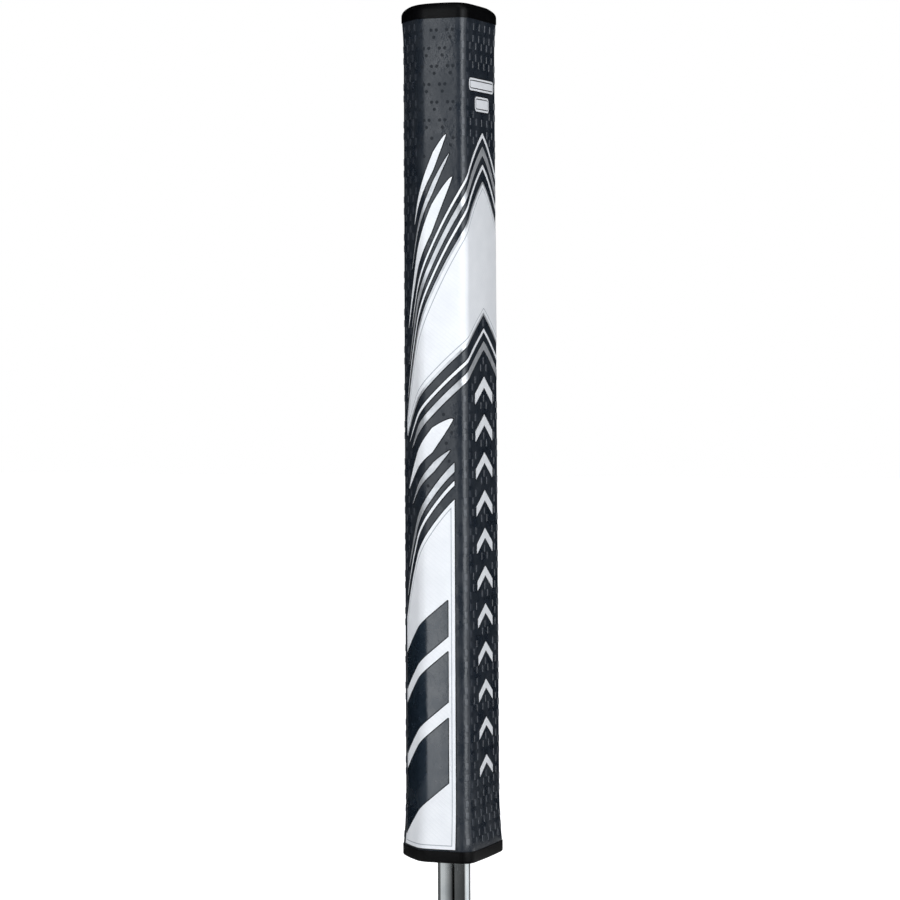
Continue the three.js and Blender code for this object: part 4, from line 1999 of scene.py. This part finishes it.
    def seal(self) -> Piece:
        """Models the plug's seal, a ring of round section with its fine mould line.

        Returns:
            The seal.
        """
        low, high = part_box("plug_seal")
        section = (high.z - low.z) / 2
        middle = (high.z + low.z) / 2
        deselect()
        bpy.ops.mesh.primitive_torus_add(
            major_radius=high.x - section,
            minor_radius=section * (1 - self.mould_line),
            major_segments=self.segments,
            minor_segments=20,
        )
        seal = bpy.context.object
        seal.name = seal.data.name = "plug_seal_ring"
        points = points_of(seal)
        reach = np.hypot(points[:, 0], points[:, 1])
        at_line = np.abs(points[:, 2]) < section * 0.05
        outwards = np.where(reach > high.x - section, 1.0, -1.0) * at_line * section * self.mould_line
        points[:, :2] *= ((reach + outwards) / reach)[:, None]
        points[:, 2] += middle
        move_points(seal, points)
        smooth(seal, 60)
        return seal

    def build(self) -> None:
        """Makes the insert, the plug and the seal."""
        finish_piece(self.insert(), ALUMINIUM, Body.HANDLE, "insert_aluminium", "port_insert")
        finish_piece(self.plug(), NYLON, Body.PLUG, "plug_nylon", "port_plug")
        finish_piece(self.seal(), SEAL_RUBBER, Body.SEAL, "seal_rubber", "plug_seal")


@dataclass
class FoamCore:
    """The moulded foam body under the wrap, bored for the taped shaft and pocketed for the caps."""

    section: GripSection
    caps: EndCaps
    shaft: ShaftTube
    depth: float = 1.5  # how far it lies under the skin's face
    clearance: float = 0.2  # round the caps' spigots
    room: float = 0.45  # round the shaft, for its tape
    rim: float = 0.4
    columns: int = 200
    rows: int = 60
    hole_steps: int = 96

    def build(self) -> None:
        """Rolls a sheet into the body, closes its ends and bores it."""
        core = grid("core_foam_moulding", self.columns, self.rows)
        unit = points_of(core) + 0.5
        bottom, top = self.section.bottom, self.section.top
        way = self.section.around * (unit[:, 0] - 0.5)
        height = bottom + (top - bottom) * unit[:, 1]
        move_points(core, self.section.lay(np.column_stack([way, height, np.full(len(way), -self.depth)])))
        close_ends(core)
        round_edges(core, self.rim * MM, angle=60)
        start, end = self.shaft.taper()
        pocket_top = start + self.clearance
        mouth = self.caps.mouth_spigot_radius + self.clearance
        butt = self.caps.butt_spigot_radius + self.clearance
        narrow, wide = (radius + self.room for radius in self.shaft.radii)
        profile = [
            (0, bottom - 1),
            (mouth, bottom - 1),
            (mouth, pocket_top),
            (narrow, pocket_top),
            (wide, end),
            (butt, end),
            (butt, top + 1),
            (0, top + 1),
        ]
        cut(core, turned("cutter", profile, self.hole_steps))
        face_outwards(core)
        smooth(core, 40)
        finish_piece(core, FOAM, Body.HANDLE, "eva_foam", "foam_core")


@dataclass
class GripTape:
    """The paper tape that holds the core on the shaft, folded round it lengthwise."""

    shaft: ShaftTube
    thickness: float = 0.25
    slip: float = 0.1  # the way from the shaft's face to its own
    slit: float = 1.2  # between its two long edges
    sag: float = 0.04  # how far the paper's creases stand in from its face
    creases: int = 3  # lengthwise, all round
    crease_length: float = 60.0  # the height in which they move on by one
    columns: int = 96

    def build(self) -> None:
        """Rolls a creased strip round the tapered shaft."""
        strip = Band.between(-0.5, 0.5, *(level(height) for height in heights_of("grip_tape")))
        size = FilmSize(step_round=1 / self.columns, step_up=2.0, sink=self.thickness, rim=0.0)
        tape = film("grip_tape_strip", strip, 0.0, size)
        flat = points_of(tape)
        shaft = np.interp(flat[:, 1], self.shaft.taper(), self.shaft.radii)
        phase = 2 * np.pi * self.creases * (flat[:, 0] + flat[:, 1] / self.crease_length)
        crease = self.sag * 0.5 * (1 - np.cos(phase))
        reach = shaft + self.slip + self.thickness + flat[:, 2] - crease * (1 + flat[:, 2] / self.thickness)
        half = np.pi - self.slit / 2 / reach
        angle = np.pi * 3 / 2 + 2 * half * flat[:, 0]
        places = np.column_stack([reach * np.cos(angle), reach * np.sin(angle), flat[:, 1]])
        move_points(tape, places * MM)
        face_outwards(tape)
        smooth(tape, 60)
        finish_piece(tape, PAPER, Body.HANDLE, "paper_tape", "grip_tape")


# ------------------------------ the studio


@dataclass(frozen=True)
class Lamp:
    """An upright soft strip round the grip. Angles are in degrees from +X, anticlockwise from above."""

    name: str
    angle: float
    spread: float
    radiance: float
    distance: float = 0.34
    bottom: float = -0.02
    top: float = 0.5
    glossy: bool = True
    colour: tuple[float, float, float] = (0.925, 0.965, 1.0)


@dataclass(frozen=True)
class Flag:
    """An upright curved card that only reflections see, between two angles, with a foot on the floor."""

    name: str
    start: float
    end: float
    grey: float  # at its start
    grey_end: float
    distance: float = 0.1
    bottom: float = 0.0002
    top: float = 0.017
    foot: float = 0.0053  # how near the axis its foot comes
    step: float = 4.0  # degrees to a column


@dataclass
class Studio:
    """A pale floor, soft strips, cards for the reflections and the camera. Lengths are in metres."""

    camera_azimuth: float = -70.99
    camera_elevation: float = 1.61
    camera_distance: float = 1.1405
    camera_height: float = 0.1579  # the point of the axis that it looks at
    camera_side: float = -0.0006  # how far the camera stands to its own right
    camera_roll: float = 0.293
    lens: float = 145.3
    sensor: float = 36.0
    far: float = 50.0
    floor_size: float = 8.0
    floor_drop: float = 0.0002
    floor_colour: str = "#e9e9ea"
    floor_glow: float = 0.8
    floor_mirrored: float = 0.35  # the share of that glow that reflections see
    paper_grain: float = 900.0  # lumps to a metre
    paper_depth: float = 0.0001
    world_diffuse: float = 0.36
    lamps: tuple[Lamp, ...] = (
        Lamp("strip_left", 150.5, 14, 1.45),
        Lamp("strip_front", 233, 32, 2.85),
        Lamp("fill_left", 165, 50, 1.3, distance=0.8, bottom=-0.2, top=0.8, glossy=False),
        Lamp("fill_back", 40, 50, 1.3, distance=0.8, bottom=-0.2, top=0.8, glossy=False),
    )
    flags: tuple[Flag, ...] = (
        Flag("flag_back", 286, 501, 0.0, 0.0, 0.2, 0.001, 1.2, foot=0.199),
        Flag("flag_camera", 160, 209, 0.02, 0.02, 0.2, 0.02, 1.2, foot=0.199),
        Flag("card_edge", 20, 90, 0.1, 0.12),
        Flag("card_left", 90, 132, 0.6, 0.54),
        Flag("card_fall", 132, 188, 0.5, 0.02),
        Flag("card_slot", 188, 202, 0.002, 0.002),
        Flag("card_front", 202, 278, 0.11, 0.05),
        Flag("card_turn", 278, 298, 0.5, 0.95),
        Flag("card_right", 324, 380, 0.22, 0.1),
    )

    def set_camera(self) -> None:
        """Stands the camera where the photograph was taken from."""
        azimuth, elevation = math.radians(self.camera_azimuth), math.radians(self.camera_elevation)
        flat = math.cos(elevation)
        back = Vector((math.sin(azimuth) * flat, -math.cos(azimuth) * flat, math.sin(elevation)))
        turn = (-back).to_track_quat("-Z", "Y")
        right = turn @ Vector((1, 0, 0))
        deselect()
        bpy.ops.object.camera_add()
        camera = bpy.context.object
        camera.name = "camera"
        target = Vector((0, 0, self.camera_height))
        camera.location = target + back * self.camera_distance + right * self.camera_side
        roll = Matrix.Rotation(-math.radians(self.camera_roll), 3, "Z")
        camera.rotation_euler = (turn.to_matrix() @ roll).to_euler()
        camera.data.lens = self.lens
        camera.data.sensor_width = self.sensor
        camera.data.clip_end = self.far
        bpy.context.scene.camera = camera

    def add_lamps(self) -> None:
        """Hangs the soft strips."""
        for lamp in self.lamps:
            angle = math.radians(lamp.angle)
            outwards = Vector((math.cos(angle), math.sin(angle), 0))
            place = outwards * lamp.distance + Vector((0, 0, (lamp.bottom + lamp.top) / 2))
            deselect()
            bpy.ops.object.light_add(type="AREA", location=place)
            light = bpy.context.object
            light.name = lamp.name
            light.rotation_euler = (-outwards).to_track_quat("-Z", "Y").to_euler()
            light.data.shape = "RECTANGLE"
            light.data.size = 2 * lamp.distance * math.tan(math.radians(lamp.spread / 2))
            light.data.size_y = lamp.top - lamp.bottom
            light.data.energy = lamp.radiance * math.pi * light.data.size * light.data.size_y
            light.data.color = lamp.colour
            light.visible_camera = False
            light.visible_glossy = lamp.glossy

    def add_flags(self) -> None:
        """Stands the cards that shape the reflections, hidden from everything else."""
        for flag in self.flags:
            card = grid(flag.name, max(2, math.ceil((flag.end - flag.start) / flag.step)), 2)
            unit = points_of(card) + 0.5
            angle = np.radians(flag.start + (flag.end - flag.start) * unit[:, 0])
            reach = np.interp(unit[:, 1], (0, 0.5, 1), (flag.foot, flag.distance, flag.distance))
            height = np.interp(unit[:, 1], (0, 0.5, 1), (flag.bottom, flag.bottom, flag.top))
            move_points(card, np.column_stack([np.cos(angle) * reach, np.sin(angle) * reach, height]))
            material = bpy.data.materials.new(flag.name)
            add = adder(material)
            share = add("ShaderNodeSeparateXYZ", {"Vector": add("ShaderNodeUVMap")})
            grey = add(RANGE, {"Value": share, "To Min": flag.grey, "To Max": flag.grey_end})
            glow = add("ShaderNodeEmission", {"Strength": grey})
            add("ShaderNodeOutputMaterial", {"Surface": glow})
            card.data.materials.append(material)
            card.visible_camera = card.visible_diffuse = card.visible_transmission = False
            card.visible_shadow = card.visible_volume_scatter = False

    def seen(self, add: Adder, mirrored: float = 1.0) -> Node:
        """Tells apart the rays that should see the white background.

        Args:
            add: adds a node to the floor's material or the world.
            mirrored: the share for the rays of mirrors and glass.

        Returns:
            A share that is 1 for the camera's rays, the given one for those, and 0 for all others.
        """
        rays = add("ShaderNodeLightPath").outputs
        both = {0: rays["Is Glossy Ray"], 1: rays["Is Transmission Ray"]}
        bounced = add(MATH, both, operation="MAXIMUM")
        glossy = add(MATH, {0: bounced, 1: mirrored}, operation="MULTIPLY")
        return add(MATH, {0: rays["Is Camera Ray"], 1: glossy}, operation="MAXIMUM")

    def set_world(self) -> None:
        """An even light all round, and a white background."""
        world = bpy.data.worlds.new("studio")
        bpy.context.scene.world = world
        add = adder(world)
        strength = add(RANGE, {"Value": self.seen(add), "To Min": self.world_diffuse})
        light = add("ShaderNodeBackground", {"Color": "#ffffff", "Strength": strength})
        add("ShaderNodeOutputWorld", {"Surface": light})

    def lay_floor(self) -> None:
        """A pale floor that keeps the grip's shadow and still meets the white background."""
        deselect()
        bpy.ops.mesh.primitive_grid_add(x_subdivisions=8, y_subdivisions=8, size=self.floor_size)
        floor = bpy.context.object
        floor.name = "studio_floor"
        move_points(floor, points_of(floor) - (0, 0, self.floor_drop))
        material = bpy.data.materials.new("studio_paper")
        add = adder(material)
        place = add("ShaderNodeTexCoord").outputs["Object"]
        grain = add(NOISE, {"Vector": place, "Scale": self.paper_grain, "Detail": 2})
        bump = add(BUMP, {"Height": grain, "Distance": self.paper_depth})
        laid = {"Color": self.floor_colour, "Roughness": 0.5, "Normal": bump}
        paper = add("ShaderNodeBsdfDiffuse", laid)
        seen = self.seen(add, self.floor_mirrored)
        strength = add(RANGE, {"Value": seen, "To Max": self.floor_glow})
        glow = add("ShaderNodeEmission", {"Strength": strength})
        both = add("ShaderNodeAddShader", {0: paper, 1: glow})
        add("ShaderNodeOutputMaterial", {"Surface": both})
        floor.data.materials.append(material)

    def build(self) -> None:
        """Sets up the whole studio."""
        self.set_camera()
        self.set_world()
        self.lay_floor()
        self.add_lamps()
        self.add_flags()
        bpy.context.scene.view_settings.view_transform = "Standard"


def main() -> None:
    """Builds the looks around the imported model, in order."""
    logging.basicConfig(level=logging.INFO, format="%(name)s: %(message)s")
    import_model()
    Studio().build()
    section = GripSection()
    skin = WrapSheet(section, "wrap_skin", 0.0, 0.7).build()
    finish_piece(skin, SKIN, Body.HANDLE, "printed_polyurethane", "outer_skin")
    backing = WrapSheet(section, "wrap_felt", 0.85, 0.5)
    felt = backing.build()
    finish_piece(felt, FELT, Body.HANDLE, "felt", "skin_backing")
    backing.cut()
    artwork = Artwork(section)
    artwork.build()
    Tread(section, artwork.covered).build()
    caps = EndCaps(section)
    caps.build()
    shaft = ShaftTube()
    shaft.build()
    Port().build()
    FoamCore(section, caps, shaft).build()
    GripTape(shaft).build()
    deselect()


if __name__ == "__main__":
    main()
